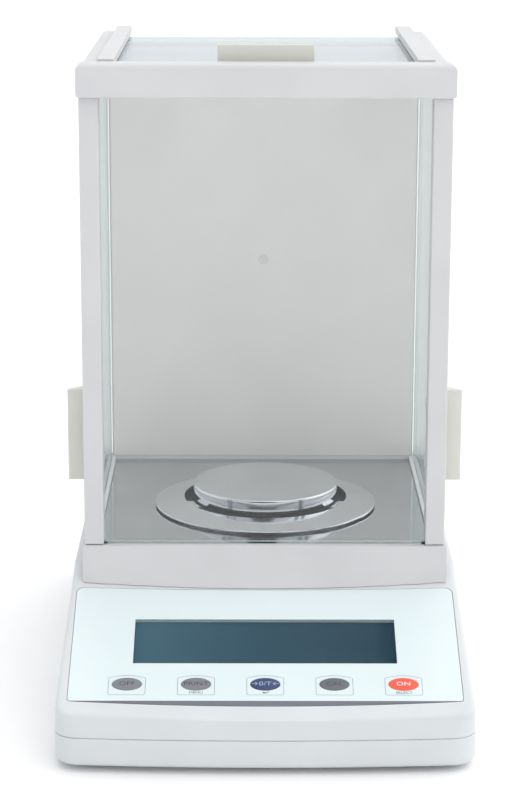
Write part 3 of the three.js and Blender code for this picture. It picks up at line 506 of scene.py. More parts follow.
def prism(outline, low, high):
    """An outline in X and Y, anticlockwise, pulled up from one height to another."""
    return loft([[(x, y, low) for x, y in outline], [(x, y, high) for x, y in outline]])


def loft_box(x0, x1, y0, y1, z0, z1):
    """A box with its lowest and highest coordinate on each axis."""
    return prism([(x0, y0), (x1, y0), (x1, y1), (x0, y1)], z0, z1)


def turned(profile, centre=(0, 0), steps=96):
    """A solid of revolution; the profile's [radius, z] points run anticlockwise and close on themselves."""
    x0, y0 = centre
    points = []
    for step in range(steps):
        angle = 2 * math.pi * step / steps
        points += [(x0 + r * math.cos(angle), y0 + r * math.sin(angle), z) for r, z in profile]
    count = len(profile)
    faces = []
    for step in range(steps):
        for i in range(count):
            a, b = step * count + i, step * count + (i + 1) % count
            c, d = (b + count) % len(points), (a + count) % len(points)
            faces.append([a, d, c, b])
    return points, faces


def lathe(profile, centre=(0, 0), steps=96, flutes=0, depth=0.0):
    """A solid of revolution whose profile starts and ends on the axis, bottom first.
    Flutes notch every point marked with a third value of 1, by up to a depth."""
    x0, y0 = centre
    rings = []
    for point in profile[1:-1]:
        radius, z = point[:2]
        notch = depth if len(point) > 2 and point[2] else 0
        ring = []
        for step in range(steps):
            angle = 2 * math.pi * step / steps
            r = radius - notch * (0.5 + 0.5 * math.cos(flutes * angle)) if notch else radius
            ring.append((x0 + r * math.cos(angle), y0 + r * math.sin(angle), z))
        rings.append(ring)
    points = [point for ring in rings for point in ring]
    faces = strips(len(rings), steps)
    bottom, top = len(points), len(points) + 1
    points += [(x0, y0, profile[0][1]), (x0, y0, profile[-1][1])]
    last = (len(rings) - 1) * steps
    faces += [[bottom, (i + 1) % steps, i] for i in range(steps)]
    faces += [[top, last + i, last + (i + 1) % steps] for i in range(steps)]
    return points, faces


def rounded(corners, steps=5):
    """A closed profile with corners rounded: each corner is (a, b, radius)."""
    made = []
    for i, (a, b, radius) in enumerate(corners):
        here = Vector((a, b))
        if not radius:
            made.append((a, b))
            continue
        before = (Vector(corners[i - 1][:2]) - here).normalized()
        after = (Vector(corners[(i + 1) % len(corners)][:2]) - here).normalized()
        half = before.angle(after) / 2
        start = here + before * radius / math.tan(half)
        end = here + after * radius / math.tan(half)
        for step in range(steps + 1):
            t = step / steps
            made.append(tuple(start * (1 - t) ** 2 + here * 2 * t * (1 - t) + end * t ** 2))
    return made


def ellipse(width, height, x=0, y=0, steps=72):
    turns = [2 * math.pi * step / steps for step in range(steps)]
    return [(x + width / 2 * math.cos(t), y + height / 2 * math.sin(t)) for t in turns]


def rectangle(x0, x1, y0, y1, radius=0, steps=5):
    return rounded([(x0, y0, radius), (x1, y0, radius), (x1, y1, radius), (x0, y1, radius)], steps)


def quarter(x, y, radius, start, steps):
    """Points on a quarter of a circle, anticlockwise from an angle."""
    turns = [start + math.pi / 2 * i / steps for i in range(steps + 1)]
    return [(x + radius * math.cos(t), y + radius * math.sin(t)) for t in turns]


def post(x, y, radius, low, high, steps=48):
    """An upright round bar."""
    return prism(ellipse(2 * radius, 2 * radius, x, y, steps), low, high)


def turned_ring(inner, outer, low, high):
    """A flat ring about the Z axis, its four edges slightly rounded."""
    ease = min(0.12, (high - low) / 3)
    corners = [(inner, low, ease), (outer, low, ease), (outer, high, ease), (inner, high, ease)]
    return turned(rounded(corners, 2), steps=64)


# ---- Pieces ------------------------------------------------------------------------


def smooth(mesh, degrees=32):
    for polygon in mesh.polygons:
        polygon.use_smooth = True
    mesh.set_sharp_from_angle(angle=math.radians(degrees))


def slot_of(node):
    rows = frame["record"]["subparts"]
    return next(row["material_slot"] for row in rows if row["node"] == node)


def body_with(node):
    return frame["nodes"][node]["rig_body"]


def add_piece(name, shape, look, body, stands_for=(), place=None, sharp=32):
    """Makes an object of a shape, gives it its look and rides it on a body."""
    mesh = shape.mesh(name)
    mesh.materials.append(look)
    smooth(mesh, sharp)
    piece = bpy.data.objects.new(name, mesh)
    scene.collection.objects.link(piece)
    if place:
        piece.matrix_world = place
    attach(piece, body)
    if stands_for:
        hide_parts(*stands_for)
    return piece


def add_beside(name, shape, look, node):
    """An extra piece that rides with a CAD node."""
    return add_piece(name, shape, LOOKS[look], body_with(node))


def stand_for(name, node, shape, look=None, place=None, sharp=32):
    """A fine piece in place of one CAD node, on its body and in its material slot."""
    slot = slot_of(node)
    return add_piece(name, shape, look or LOOKS[slot], body_with(node), (node,), place, sharp)


def carve(piece, shape, operation="DIFFERENCE", sharp=32):
    """Cuts a shape out of a piece, or joins it on, and applies the result to the piece's mesh."""
    tool = bpy.data.objects.new("tool", shape.mesh("tool"))
    scene.collection.objects.link(tool)
    step = piece.modifiers.new("boolean", "BOOLEAN")
    step.object = tool
    step.operation = operation
    step.solver = "EXACT"
    graph = bpy.context.evaluated_depsgraph_get()
    result = bpy.data.meshes.new_from_object(piece.evaluated_get(graph))
    piece.modifiers.clear()
    piece.data = result
    bpy.data.objects.remove(tool)
    smooth(result, sharp)


def soften(piece, width_mm, segments=3, degrees=30):
    """Rounds the sharp edges of a piece without touching its mesh: coplanar faces are merged first."""
    weld = piece.modifiers.new("weld", "WELD")
    weld.merge_threshold = 0.02 * MM
    merge = piece.modifiers.new("merge", "DECIMATE")
    merge.decimate_type = "DISSOLVE"
    merge.angle_limit = math.radians(0.7)
    bevel = piece.modifiers.new("bevel", "BEVEL")
    bevel.width = width_mm * MM
    bevel.segments = segments
    bevel.limit_method = "ANGLE"
    bevel.angle_limit = math.radians(degrees)
    normals = piece.modifiers.new("normals", "WEIGHTED_NORMAL")
    normals.keep_sharp = False


# ---- The body's form, as in the CAD model, in finer steps --------------------------------


def half_width_at(z):
    """Half the body's width, which narrows evenly from the tray to the deck."""
    rise = max(0, z - SPLIT) / (DECK - SPLIT)
    return HALF_WIDTH + (DECK_HALF_WIDTH - HALF_WIDTH) * rise


def rounded_max(a, b, softness):
    """The larger of two values, with the change from one to the other rounded."""
    high = max(a, b)
    return high + softness * math.log(math.exp((a - high) / softness) + math.exp((b - high) / softness))


def front_at(x, z, skin):
    """Y of the body's front at a place across and a height: bowed, then sloped, then up to the deck."""
    bowed = FRONT + BOW * (x / HALF_WIDTH) ** 2 + skin
    level = z + skin / math.cos(SLOPE_ANGLE)
    if level <= SLOPE_END_Z:
        slope = SLOPE_TOP.y + (level - SLOPE_TOP.z) / math.tan(SLOPE_ANGLE)
        return rounded_max(bowed, slope, SLOPE_BLEND)
    rise = min(1, (level - SLOPE_END_Z) / (DECK - SLOPE_END_Z))
    return SLOPE_END_Y + (DECK_FRONT_Y - SLOPE_END_Y) * rise ** 0.7


def smoothstep(value, low, high):
    t = min(1, max(0, (value - low) / (high - low)))
    return t * t * (3 - 2 * t)


def body_ring(z, inset=0, skin=0, front_steps=40, corner_steps=8):
    """One level ring of the body, drawn in by an inset and, inside, by the wall."""
    half = half_width_at(z) - inset - skin
    rear = REAR - inset - skin
    front_radius = CORNER + (SLOPE_EDGE - CORNER) * smoothstep(z, *SHARPENING) - min(inset, 2)
    rear_radius = CORNER - inset
    reach = half - front_radius
    rear_reach = half - rear_radius
    ring = []

    def corner(x, y, start, radius):
        ring.extend((*point, z) for point in quarter(x, y, radius, start, corner_steps))

    corner(-reach, front_at(-reach, z, skin) + inset + front_radius, math.pi, front_radius)
    for i in range(1, front_steps):
        x = reach * (2 * i / front_steps - 1)
        ring.append((x, front_at(x, z, skin) + inset, z))
    corner(reach, front_at(reach, z, skin) + inset + front_radius, 1.5 * math.pi, front_radius)
    corner(rear_reach, rear - rear_radius, 0, rear_radius)
    corner(-rear_reach, rear - rear_radius, math.pi / 2, rear_radius)
    return ring


def keypad_outline(margin):
    """The keypad sheet's outline, grown all round: bowed top and bottom edges, rounded corners."""
    half = KEYPAD_HALF + margin
    top, bottom = margin, -KEYPAD_LENGTH - margin
    low_bow, high_bow = KEYPAD_BOWS
    low_radius, high_radius = KEYPAD_RADII
    outline = []

    def bow(x0, x1, y, depth):
        for i in range(1, 32):
            t = i / 32
            outline.append((x0 + (x1 - x0) * t, y - depth * 4 * t * (1 - t)))

    bow(-half + low_radius, half - low_radius, bottom, low_bow)
    outline += quarter(half - low_radius, bottom + low_radius, low_radius, -math.pi / 2, 6)
    outline += quarter(half - high_radius, top - high_radius, high_radius, 0, 6)
    bow(half - high_radius, -half + high_radius, top, high_bow)
    outline += quarter(-half + high_radius, top - high_radius, high_radius, math.pi / 2, 6)
    outline += quarter(-half + low_radius, bottom + low_radius, low_radius, math.pi, 6)
    return outline


def key_outline(index, margin):
    return ellipse(KEY_SIZE[0] + 2 * margin, KEY_SIZE[1] + 2 * margin, index * KEY_PITCH, KEY_Y)


def display_outline(margin):
    half = DISPLAY_HALF + margin
    return rectangle(-half, half, DISPLAY_BOTTOM - margin, DISPLAY_TOP + margin)


def make_housing():
    """The upper housing: a thin shell, open below, cut for the keypad, display, keys, ports and pan."""
    levels = [SPLIT + 0.1, SPLIT + 0.5, 27, *range(29, 36), 37, 40, 46, 52, 60, SLOPE_END_Z]
    steps = 10
    outer = [body_ring(z, 0 if place else 0.35) for place, z in enumerate(levels)]
    edge = 1.4
    for i in range(1, steps):
        outer.append(body_ring(SLOPE_END_Z + (DECK - edge - SLOPE_END_Z) * i / steps))
    for i in range(5):
        angle = math.pi / 2 * i / 4
        outer.append(body_ring(DECK - edge + edge * math.sin(angle), edge * (1 - math.cos(angle))))
    drop = WALL / math.cos(SLOPE_ANGLE)
    inner = [body_ring(SPLIT + 0.1, 0, WALL)] + [body_ring(z - drop, 0, WALL) for z in levels[2:]]
    inner += [body_ring(DECK - WALL - 1.5, 0, WALL), body_ring(DECK - WALL, 0, WALL)]
    shape = Shape().add(*shell(outer, inner))
    housing = stand_for("housing_shell", "upper_housing", shape)
    carve(housing, Shape().add(*prism(keypad_outline(0.35), -FILM - 0.3, 8), IN_PANEL))
    cuts = Shape().add(*prism(display_outline(0), -9, 1), IN_PANEL)
    for index in range(-2, 3):
        cuts.add(*prism(key_outline(index, 0.3), -9, 1), IN_PANEL)
    for node in ("power_inlet", "serial_port"):
        low, high = box_mm(node)
        cuts.add(*loft_box(low.x - 0.3, high.x + 0.3, REAR - 8, REAR + 1, low.z - 0.3, high.z + 0.3))
    cuts.add(*prism(ellipse(18, 18, PAN_CENTRE.x, PAN_CENTRE.y, 48), DECK - 8, DECK + 1))
    carve(housing, cuts)


def make_tray():
    """The base tray, with pockets for the levelling wheels and bosses for the screws."""
    top = SPLIT - 0.1
    floor = BOTTOM + WALL
    edge = [(0, 3), (0.2, 2.2), (0.6, 1.5), (1.0, 1.0), (1.6, 0.6), (2.2, 0.3), (3, 0.1), (5, 0)]
    outer = [body_ring(BOTTOM + rise, inset) for rise, inset in edge]
    outer += [body_ring(top - 0.4), body_ring(top, 0.35)]
    inside = [(0, 5), (0.7, 3.4), (2, 2), (3.4, 0.8), (5, 0)]
    inner = [body_ring(floor + rise, inset, WALL) for rise, inset in inside] + [body_ring(top, 0, WALL)]
    tray = stand_for("tray_shell", "base_tray", Shape().add(*tub(outer, inner)))
    posts, braces, pockets, holes = Shape(), Shape(), Shape(), Shape()
    for word in ("left", "right"):
        x, y = span_mm(word + "_foot_screw")[2].xy
        posts.add(*post(x, y, 17.5, BOTTOM + 1, 14))
        braces.add(*post(x, y, 7, 12.5, 30))
        pockets.add(*post(x, y, 15, BOTTOM - 1, 11.5))
        holes.add(*post(x, y, 3.3, BOTTOM, 31, 24))
    for number in range(1, 5):
        x, y = span_mm(f"housing_screw_{number}")[2].xy
        wall = math.copysign(HALF_WIDTH - 1, x)
        posts.add(*post(x, y, 5, floor - 1, top, 32))
        braces.add(*loft_box(min(x, wall), max(x, wall), y - 1.5, y + 1.5, floor + 2, top - 0.1))
        pockets.add(*post(x, y, 3.9, BOTTOM - 1, BOTTOM + 4, 32))
        holes.add(*post(x, y, 2.2, BOTTOM, top + 1, 24))
    for shape in (posts, braces):
        carve(tray, shape, "UNION")
    for shape in (pockets, holes):
        carve(tray, shape)


def into_panel(shape):
    """Moves a shape drawn in the panel's frame to the row frame."""
    shape.points = [IN_PANEL @ point for point in shape.points]


def make_keypad():
    """The keypad's film, open for the display and the keys."""
    film = Shape().add(*prism(keypad_outline(0), -FILM, 0))
    film = stand_for("keypad_film", "keypad_overlay", film, place=PANEL_FRAME)
    cuts = Shape().add(*prism(display_outline(0), -2, 1))
    for index in range(-2, 3):
        cuts.add(*prism(key_outline(index, 0.2), -2, 1))
    into_panel(cuts)
    carve(film, cuts)


def make_key(index, node):
    """A printed oval with a soft dome and a rounded rim."""
    profile = [(0.06, 0.0), (0.5, -0.01), (0.8, -0.05), (0.93, -0.12), (0.98, -0.2), (1.0, -0.32)]
    rings = [[(x, y, -KEY_DEPTH) for x, y in key_outline(index, 0)]]
    for scale, drop in reversed(profile):
        ring = ellipse(KEY_SIZE[0] * scale, KEY_SIZE[1] * scale, index * KEY_PITCH, KEY_Y)
        rings.append([(x, y, KEY_PROUD + drop) for x, y in ring])
    shape = Shape().add(*loft(rings))
    stand_for(node + "_cap", node, shape, place=PANEL_FRAME)


def add_words(name, text, x, y, size, look, body, place=PANEL_FRAME, height=0.03, stretch=1.0):
    """Generic words as a thin print on the panel."""
    data = bpy.data.curves.new(name, "FONT")
    data.body = text
    data.size = size * MM
    data.align_x = "CENTER"
    data.align_y = "CENTER"
    data.extrude = 0.012 * MM
    data.resolution_u = 3
    text_object = bpy.data.objects.new(name + "_outline", data)
    scene.collection.objects.link(text_object)
    bpy.context.view_layer.update()
    mesh = bpy.data.meshes.new_from_object(text_object)
    bpy.data.objects.remove(text_object)
    mesh.materials.clear()
    mesh.materials.append(look)
    words = bpy.data.objects.new(name, mesh)
    scene.collection.objects.link(words)
    shift = Matrix.Translation((x * MM, y * MM, height * MM))
    words.matrix_world = place @ shift @ Matrix.Diagonal((stretch, 1, 1, 1))
    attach(words, body)
    return words


def ribbon(path, width, low, high, closed=True):
    """A thin flat line along a path in X and Y."""
    count = len(path)
    sides = []
    for i, here in enumerate(path):
        before = Vector(path[i - 1]) if closed or i else Vector(here)
        after = Vector(path[(i + 1) % count]) if closed or i < count - 1 else Vector(here)
        along = (after - before).normalized()
        across = Vector((along.y, -along.x)) * width / 2
        here = Vector(here)
        sides.append((here + across, here - across))
    rings = []
    for outer, inner in sides:
        rings.append([(*outer, low), (*outer, high), (*inner, high), (*inner, low)])
    points = [point for ring in rings for point in ring]
    faces = []
    last = count if closed else count - 1
    for i in range(last):
        a, b = i * 4, ((i + 1) % count) * 4
        faces += [[a + k, b + k, b + (k + 1) % 4, a + (k + 1) % 4] for k in range(4)]
    if not closed:
        end = (count - 1) * 4
        faces += [[0, 1, 2, 3], [end + 3, end + 2, end + 1, end]]
    return points, faces


def key_frame_path(x):
    """The printed outline round a key and its small word: straight sides, arched top."""
    half, low, shoulder, rise = 9.45, KEY_Y - 8.0, KEY_Y + 4.6, 1.9
    left, right = x - half, x + half
    path = rounded([(left, shoulder, 0), (left, low, 1.2), (right, low, 1.2), (right, shoulder, 0)], 4)
    for i in range(1, 24):
        t = i / 24
        path.append((x + half * (1 - 2 * t), shoulder + rise * 4 * t * (1 - t)))
    return path


def make_print():
    """Captions and outlines round the keys, all generic."""
    captions = ["OFF", "PRINT", "\u21920/T\u2190", "CAL", "ON"]
    small = [None, "MENU", "\u21b5", None, "SELECT"]
    inks = ["ink_dark", "ink_dark", "ink_mist", "ink_dark", "ink_pale"]
    for place, node in enumerate(KEYS):
        x = (place - 2) * KEY_PITCH
        word = node.split("_")[1]
        add_words("caption_" + word, captions[place], x, KEY_Y, 4.1, LOOKS[inks[place]], node,
                  height=KEY_PROUD + 0.02, stretch=1.15)
        if small[place]:
            size = 3.4 if node == "key_tare" else 2.3
            add_words("small_word_" + word, small[place], x, KEY_Y - 6.3, size, LOOKS["ink_dark"], "base",
                      stretch=1.15)
        line = Shape().add(*ribbon(key_frame_path(x), 0.28, 0.0, 0.03))
        add_piece("key_line_" + word, line, LOOKS["ink_line"], "base", place=PANEL_FRAME)


# ---- Pan, shield ring ----------------------------------------------------------------


def make_pan():
    """A pressed steel dish with its skirt turned down, and the socket under it."""
    top, sheet, skirt = PAN_HIGH.z, 1.2, PAN_LOW.z
    hub, boss, socket_top = 4.3, 8.3, 98.7
    under = top - sheet
    inside = PAN_RADIUS - sheet
    corners = [
        (boss, 93.5, 0.3), (boss, under, 0.8), (inside, under, 0.6), (inside, skirt, 0.25),
        (PAN_RADIUS, skirt, 0.4), (PAN_RADIUS, top, 1.3),
    ]
    profile = rounded(corners)
    profile = [(0.0, socket_top), (hub, socket_top), (hub, 93.5)] + profile + [(0.0, top)]
    shape = Shape().add(*lathe(profile, (PAN_CENTRE.x, PAN_CENTRE.y), 144))
    stand_for("weighing_pan_dish", "weighing_pan", shape, sharp=40)


def ring_height(radius):
    """The shield ring's upper surface: a cone outside, tabs rising to it, and a flat hub."""
    if radius >= RING_INNER:
        t = (radius - RING_INNER) / (RING_RADIUS - RING_INNER)
        return RING_HIGH.z + (RING_RIM - RING_HIGH.z) * t
    if radius <= HUB_RADIUS:
        return HUB_TOP
    t = (radius - HUB_RADIUS) / (RING_INNER - HUB_RADIUS)
    return HUB_TOP + (RING_HIGH.z - HUB_TOP) * t


def make_shield_ring():
    """A thin polished ring on three tabs, with long slots between them."""
    tabs = [math.radians(a) for a in TAB_DEGREES]
    span = 2 * math.pi / 3
    tab_steps, gap_steps = 8, 40
    radii = [HUB_BORE, HUB_BORE + 0.4, 26, HUB_RADIUS, 34, 38, 42, RING_INNER, RING_INNER + 0.4]
    radii += [50, 54, 58, 61, RING_RADIUS - 0.4, RING_RADIUS]

    def angles(radius):
        half = math.asin(TAB_HALF / max(radius, HUB_RADIUS))
        made = []
        for tab in tabs:
            made += [tab - half + 2 * half * i / tab_steps for i in range(tab_steps)]
            made += [tab + half + (span - 2 * half) * i / gap_steps for i in range(gap_steps)]
        return made

    columns = 3 * (tab_steps + gap_steps)
    points = []
    for level in (0, -RING_SHEET):
        for radius in radii:
            ease = 0.12 if radius in (HUB_BORE, RING_RADIUS) else 0
            z = ring_height(radius) + level + (-ease if level == 0 else ease)
            points += [(PAN_CENTRE.x + radius * math.cos(a), PAN_CENTRE.y + radius * math.sin(a), z)
                       for a in angles(radius)]
    under = len(radii) * columns

    def filled(row, column):
        in_slot = HUB_RADIUS <= radii[row] and radii[row + 1] <= RING_INNER
        return not in_slot or column % (tab_steps + gap_steps) < tab_steps

    faces = []
    for row in range(len(radii) - 1):
        for column in range(columns):
            if not filled(row, column):
                continue
            after = (column + 1) % columns
            a, b = row * columns + column, row * columns + after
            c, d = b + columns, a + columns
            faces += [[a, d, c, b], [under + b, under + c, under + d, under + a]]
            if row == 0 or not filled(row - 1, column):
                faces.append([a, b, under + b, under + a])
            if row == len(radii) - 2 or not filled(row + 1, column):
                faces.append([c, d, under + d, under + c])
            if not filled(row, (column - 1) % columns):
                faces.append([d, a, under + a, under + d])
            if not filled(row, after):
                faces.append([b, c, under + c, under + b])
    used = sorted({i for face in faces for i in face})
    renumber = {old: new for new, old in enumerate(used)}
    shape = Shape().add([points[i] for i in used], [[renumber[i] for i in face] for face in faces])
    stand_for("shield_ring_sheet", "shield_ring", shape, sharp=40)


# ---- Nuts, feet, screws ------------------------------------------------------------------


def make_nut(node):
    """A knurled nut on its stud, along the way the CAD nut points."""
    low, high, centre = span_mm(node)
    size = high - low
    axis = max(range(3), key=lambda i: size[i])
    radius = min(size) / 2
    length = size[axis]
    head = 4.5
    profile = [(0, 0), (radius - 0.9, 0), (radius - 0.3, 0.3), (radius, 0.8, 1), (radius, head - 0.8, 1),
               (radius - 0.3, head - 0.3), (radius - 0.9, head), (1.6, head), (1.6, length - 0.3),
               (1.3, length), (0, length)]
    shape = Shape().add(*lathe(profile, steps=144, flutes=24, depth=0.35))
    # The head is on the chamber's side: towards the middle for the side doors, down for the top one.
    outward = {0: Vector((math.copysign(1, centre.x), 0, 0)), 2: Vector((0, 0, 1))}[axis]
    start = centre - outward * length / 2
    turn = outward.to_track_quat("Z", "Y").to_matrix().to_4x4()
    shape.points = [Matrix.Translation(start) @ turn @ point for point in shape.points]
    stand_for(node + "_knurled", node, shape, sharp=40)


def stand_turned(node, suffix, profile, steps, flutes=0, depth=0.0, sharp=32):
    """A solid of revolution in place of an upright CAD node, about the node's own axis."""
    centre = span_mm(node)[2]
    shape = Shape().add(*lathe(profile, (centre.x, centre.y), steps, flutes, depth))
    return stand_for(node + suffix, node, shape, sharp=sharp)


def make_front_foot(node):
    """A stuck-on rubber foot with a ridged underside."""
    low, high = box_mm(node)
    radius = (high.x - low.x) / 2
    profile = [(0, 0), (2, 0), (2.4, 0.4), (3.0, 0.4), (3.4, 0), (5.2, 0), (5.6, 0.4), (6.2, 0.4), (6.6, 0),
               (radius - 0.7, 0), (radius - 0.2, 0.25), (radius, 0.8), (radius - 0.3, high.z), (0, high.z)]
    stand_turned(node, "_rubber", profile, 72)


def make_foot_pad(node):
    """The rubber pad that turns under a levelling wheel, with one groove underneath."""
    low, high = box_mm(node)
    radius = (high.x - low.x) / 2
    profile = [(0, 0), (4, 0), (4.4, 0.35), (5.4, 0.35), (5.8, 0), (radius - 0.7, 0), (radius - 0.15, 0.3),
               (radius, 0.9), (radius - 0.2, high.z - 0.4), (radius - 0.8, high.z), (0, high.z)]
    stand_turned(node, "_rubber", profile, 72)


def make_foot_screw(node):
    """A levelling wheel with finger flutes, on a threaded stud."""
    low, high = box_mm(node)
    radius = (high.x - low.x) / 2
    wheel_top = 10.0
    stud = 3.0
    profile = [(0, low.z), (radius - 1.2, low.z), (radius - 0.4, low.z + 0.4, 1), (radius, low.z + 1.0, 1),
               (radius, wheel_top - 1.0, 1), (radius - 0.4, wheel_top - 0.4, 1), (radius - 1.2, wheel_top),
               (stud, wheel_top)]
    pitch = 1.0
    turns = int((high.z - 1 - wheel_top) / pitch)
    for i in range(turns):
        z = wheel_top + i * pitch
        profile += [(stud, z + 0.15), (stud - 0.45, z + 0.5), (stud, z + 0.85)]
    profile += [(stud - 0.5, high.z), (0, high.z)]
    stand_turned(node, "_wheel", profile, 144, 24, 0.6, 40)


def make_housing_screw(node):
    """A pan-head screw with a cross recess, driven up from below."""
    low, high, centre = span_mm(node)
    radius = (high.x - low.x) / 2
    head = 2.7
    profile = [(0, low.z), (radius - 1.4, low.z), (radius - 0.5, low.z + 0.35), (radius, low.z + 1.2),
               (radius, low.z + head - 0.2), (radius - 0.2, low.z + head), (1.6, low.z + head)]
    z = low.z + head
    while z < high.z - 3:
        profile += [(1.6, z + 0.2), (1.25, z + 0.6), (1.6, z + 1.0)]
        z += 1.3
    profile += [(0.4, high.z), (0, high.z)]
    screw = stand_turned(node, "_pan_head", profile, 48)
    for across, along, depth in ((2.1, 0.4, 1.3), (0.4, 2.1, 1.25)):
        slot = loft_box(centre.x - across, centre.x + across, centre.y - along, centre.y + along,
                        low.z - 1, low.z + depth)
        carve(screw, Shape().add(*slot))


# ---- Rear panel, ports, level --------------------------------------------------------------


def make_gate_mark():
    """The round mark that the mould leaves in the middle of the rear panel."""
    face_y = PANEL_LOW.y
    turn = Matrix.Translation((0, face_y, GATE_MARK_Z)) @ Matrix.Rotation(math.pi / 2, 4, "X")
    shape = Shape().add(*turned_ring(1.9, 2.9, -0.05, 0.55), turn)
    shape.add(*lathe([(0, -0.05), (0.8, -0.05), (0.7, 0.4), (0, 0.5)], steps=32), turn)
    add_beside("rear_panel_gate_mark", shape, "shield_plastic", "rear_panel")


def make_panel_seals():
    """Pale strips that close the gaps under the rear panel and between its edges and the doors."""
    low, high = PANEL_LOW, PANEL_HIGH
    for side, word in ((-1, "left"), (1, "right")):
        inner, outer = sorted((side * (high.x + 0.05), side * (high.x + 0.9)))
        strip = rectangle(inner, outer, low.y + 0.6, low.y + 8, 0.3)
        shape = Shape().add(*prism(strip, low.z + 0.4, high.z - 0.4))
        add_beside(f"{word}_panel_seal", shape, "shield_plastic", "rear_panel")
    base_top = box_mm("shield_base_frame")[1].z
    strip = rectangle(low.x + 1, high.x - 1, low.y + 0.1, low.y + 2.9, 0.4)
    shape = Shape().add(*prism(strip, base_top + 0.02, low.z - 0.02))
    add_beside("rear_panel_seal", shape, "shield_plastic", "rear_panel")


def make_inlet_pins():
    """Three flat pins in the power socket, the middle one higher."""
    low, high, centre = span_mm("power_inlet")
    for number, (x, z) in enumerate(((-7, -2), (0, 2), (7, -2)), 1):
        blade = rectangle(-1, 1, -2, 2, 0.5)
        place = Matrix.Translation((centre.x + x, high.y - 3.5, centre.z + z))
        turn = place @ Matrix.Rotation(math.pi / 2, 4, "X")
        shape = Shape().add(*prism(blade, 0, 9.3), turn)
        add_beside(f"power_pin_{number}", shape, "zinc_steel", "power_inlet")


def make_serial_port():
    """A nine-way plug: a steel plate, its D-shaped shell, gold pins and two hexagonal nuts."""
    low, high, centre = span_mm("serial_port")
    back = high.y
    turn = Matrix.Translation((centre.x, back, centre.z)) @ Matrix.Rotation(-math.pi / 2, 4, "X")

    def d_shape(half, height):
        # Wide side up; the turn makes the drawing's +Y point down.
        narrow = half - 1.4
        return rounded([(-narrow, height, 1), (-half, -height, 1), (half, -height, 1), (narrow, height, 1)])

    half_width, half_height = (high.x - low.x) / 2, (high.z - low.z) / 2
    plate = rectangle(-half_width, half_width, -half_height, half_height, 1.2)
    shape = Shape().add(*prism(plate, low.y - back, -1.2), turn)
    outline = list(reversed(d_shape(8.5, 4.0)))
    shape.add(*prism(outline, -1.3, -0.05), turn)
    port = stand_for("serial_plug", "serial_port", shape)
    hollow = list(reversed(d_shape(8.0, 3.5)))
    carve(port, Shape().add(*prism(hollow, -7, 1), turn))
    for row, (count, y) in enumerate(((5, -1.4), (4, 1.4))):
        pins = Shape()
        for i in range(count):
            pins.add(*post((i - (count - 1) / 2) * 2.75, y, 0.5, -7.2, -1.6, 16), turn)
        add_beside(f"serial_pins_{row + 1}", pins, "gold", "serial_port")
    for side, word in ((-1, "left"), (1, "right")):
        hexagon = ellipse(5.2, 5.2, side * 12.5, 0, 6)
        shape = Shape().add(*prism(hexagon, -1.15, -0.1), turn)
        nut = add_beside(f"serial_nut_{word}", shape, "zinc_steel", "serial_port")
        carve(nut, Shape().add(*post(side * 12.5, 0, 1.3, -0.9, 1, 24), turn))


def make_level():
    """A round spirit level: clear domed body, bubble, sighting ring and a dark collar."""
    low, high, centre = span_mm("level_vial")
    place = Matrix.Translation((centre.x, centre.y, 0))
    radius = (high.x - low.x) / 2 - 1.2
    dome = [(0, low.z + 0.3), (radius, low.z + 0.3), (radius, high.z - 1.0), (radius - 0.5, high.z - 0.55),
            (radius - 2.5, high.z - 0.2), (0, high.z - 0.05)]
    shape = Shape().add(*lathe(dome, steps=72), place)
    stand_for("level_vial_body", "level_vial", shape, LOOKS["vial_acrylic"])
    collar = Shape().add(*turned_ring(radius + 0.1, radius + 1.15, low.z + 0.05, high.z - 0.9), place)
    add_beside("level_vial_collar", collar, "black_plastic", "level_vial")
    ring = Shape().add(*turned_ring(2.6, 2.9, low.z + 2.9, low.z + 3.2), place)
    add_beside("level_vial_ring", ring, "ink_dark", "level_vial")
    bubble = [(0, low.z + 1.9), (1.4, low.z + 2.0), (1.9, low.z + 2.3), (1.4, low.z + 2.6), (0, low.z + 2.7)]
    shape = Shape().add(*lathe(bubble, steps=48), place)
    add_beside("level_vial_bubble", shape, "ink_pale", "level_vial")


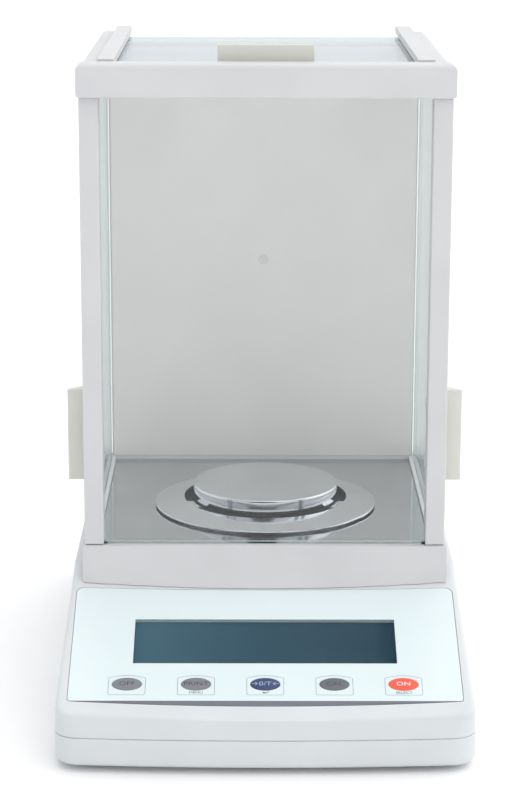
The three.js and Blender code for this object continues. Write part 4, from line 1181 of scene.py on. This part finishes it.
make_camera()
make_world()
make_stage()
make_sun("key", (0.55, 0.25, 1.0), 0.95, 90, (1, 0.995, 0.985))
make_sun("fill", (0.1, -0.9, 0.5), 0.85, 60, mirrored=False)
scene.view_settings.view_transform = "Standard"
scene.cycles.transparent_max_bounces = 32

make_housing()
make_tray()
make_keypad()
for place, node in enumerate(KEYS):
    make_key(place - 2, node)
make_print()
make_pan()
make_shield_ring()
for word in ("left", "right", "top"):
    ends = ("left", "right") if word == "top" else ("low", "high")
    for end in ends:
        make_nut(f"{word}_door_nut_{end}")
for word in ("left", "right"):
    make_front_foot(word + "_front_foot")
    make_foot_pad(word + "_foot_pad")
    make_foot_screw(word + "_foot_screw")
for number in range(1, 5):
    make_housing_screw(f"housing_screw_{number}")
make_gate_mark()
make_panel_seals()
make_inlet_pins()
make_serial_port()
make_level()

# ---- CAD nodes that stay ------------------------------------------------------------------

GLASS_AXES = {"front_glass": "Y", "left_door_glass": "X", "right_door_glass": "X", "top_door_glass": "Z"}
OWN_LOOKS = {"floor_plate": "mirror_sheet", "rear_panel": "panel_plastic"}
EDGE_MM = {
    "top_frame": 0.6, "shield_base_frame": 0.6, "left_front_post": 0.7, "right_front_post": 0.7,
    "rear_panel": 0.4, "left_top_rail": 0.25, "right_top_rail": 0.25, "front_glass": 0.25,
    "left_door_glass": 0.25, "right_door_glass": 0.25, "top_door_glass": 0.25, "left_door_handle": 0.5,
    "right_door_handle": 0.5, "top_door_handle": 0.5, "power_inlet": 0.5,
    "load_cell_frame": 0.4, "pan_carrier": 0.4, "transformer": 0.5,
}


def dress_cad_nodes():
    """Gives each CAD node that stays its own material, and rounds the edges of some."""
    for name, node in frame["nodes"].items():
        if node.hide_render:
            continue
        slot = slot_of(name)
        look = GLASS[GLASS_AXES[name]] if name in GLASS_AXES else LOOKS[slot]
        if name in OWN_LOOKS:
            look = LOOKS[OWN_LOOKS[name]]
        node.data.materials.clear()
        node.data.materials.append(look)
        if name in EDGE_MM:
            soften(node, EDGE_MM[name])


dress_cad_nodes()
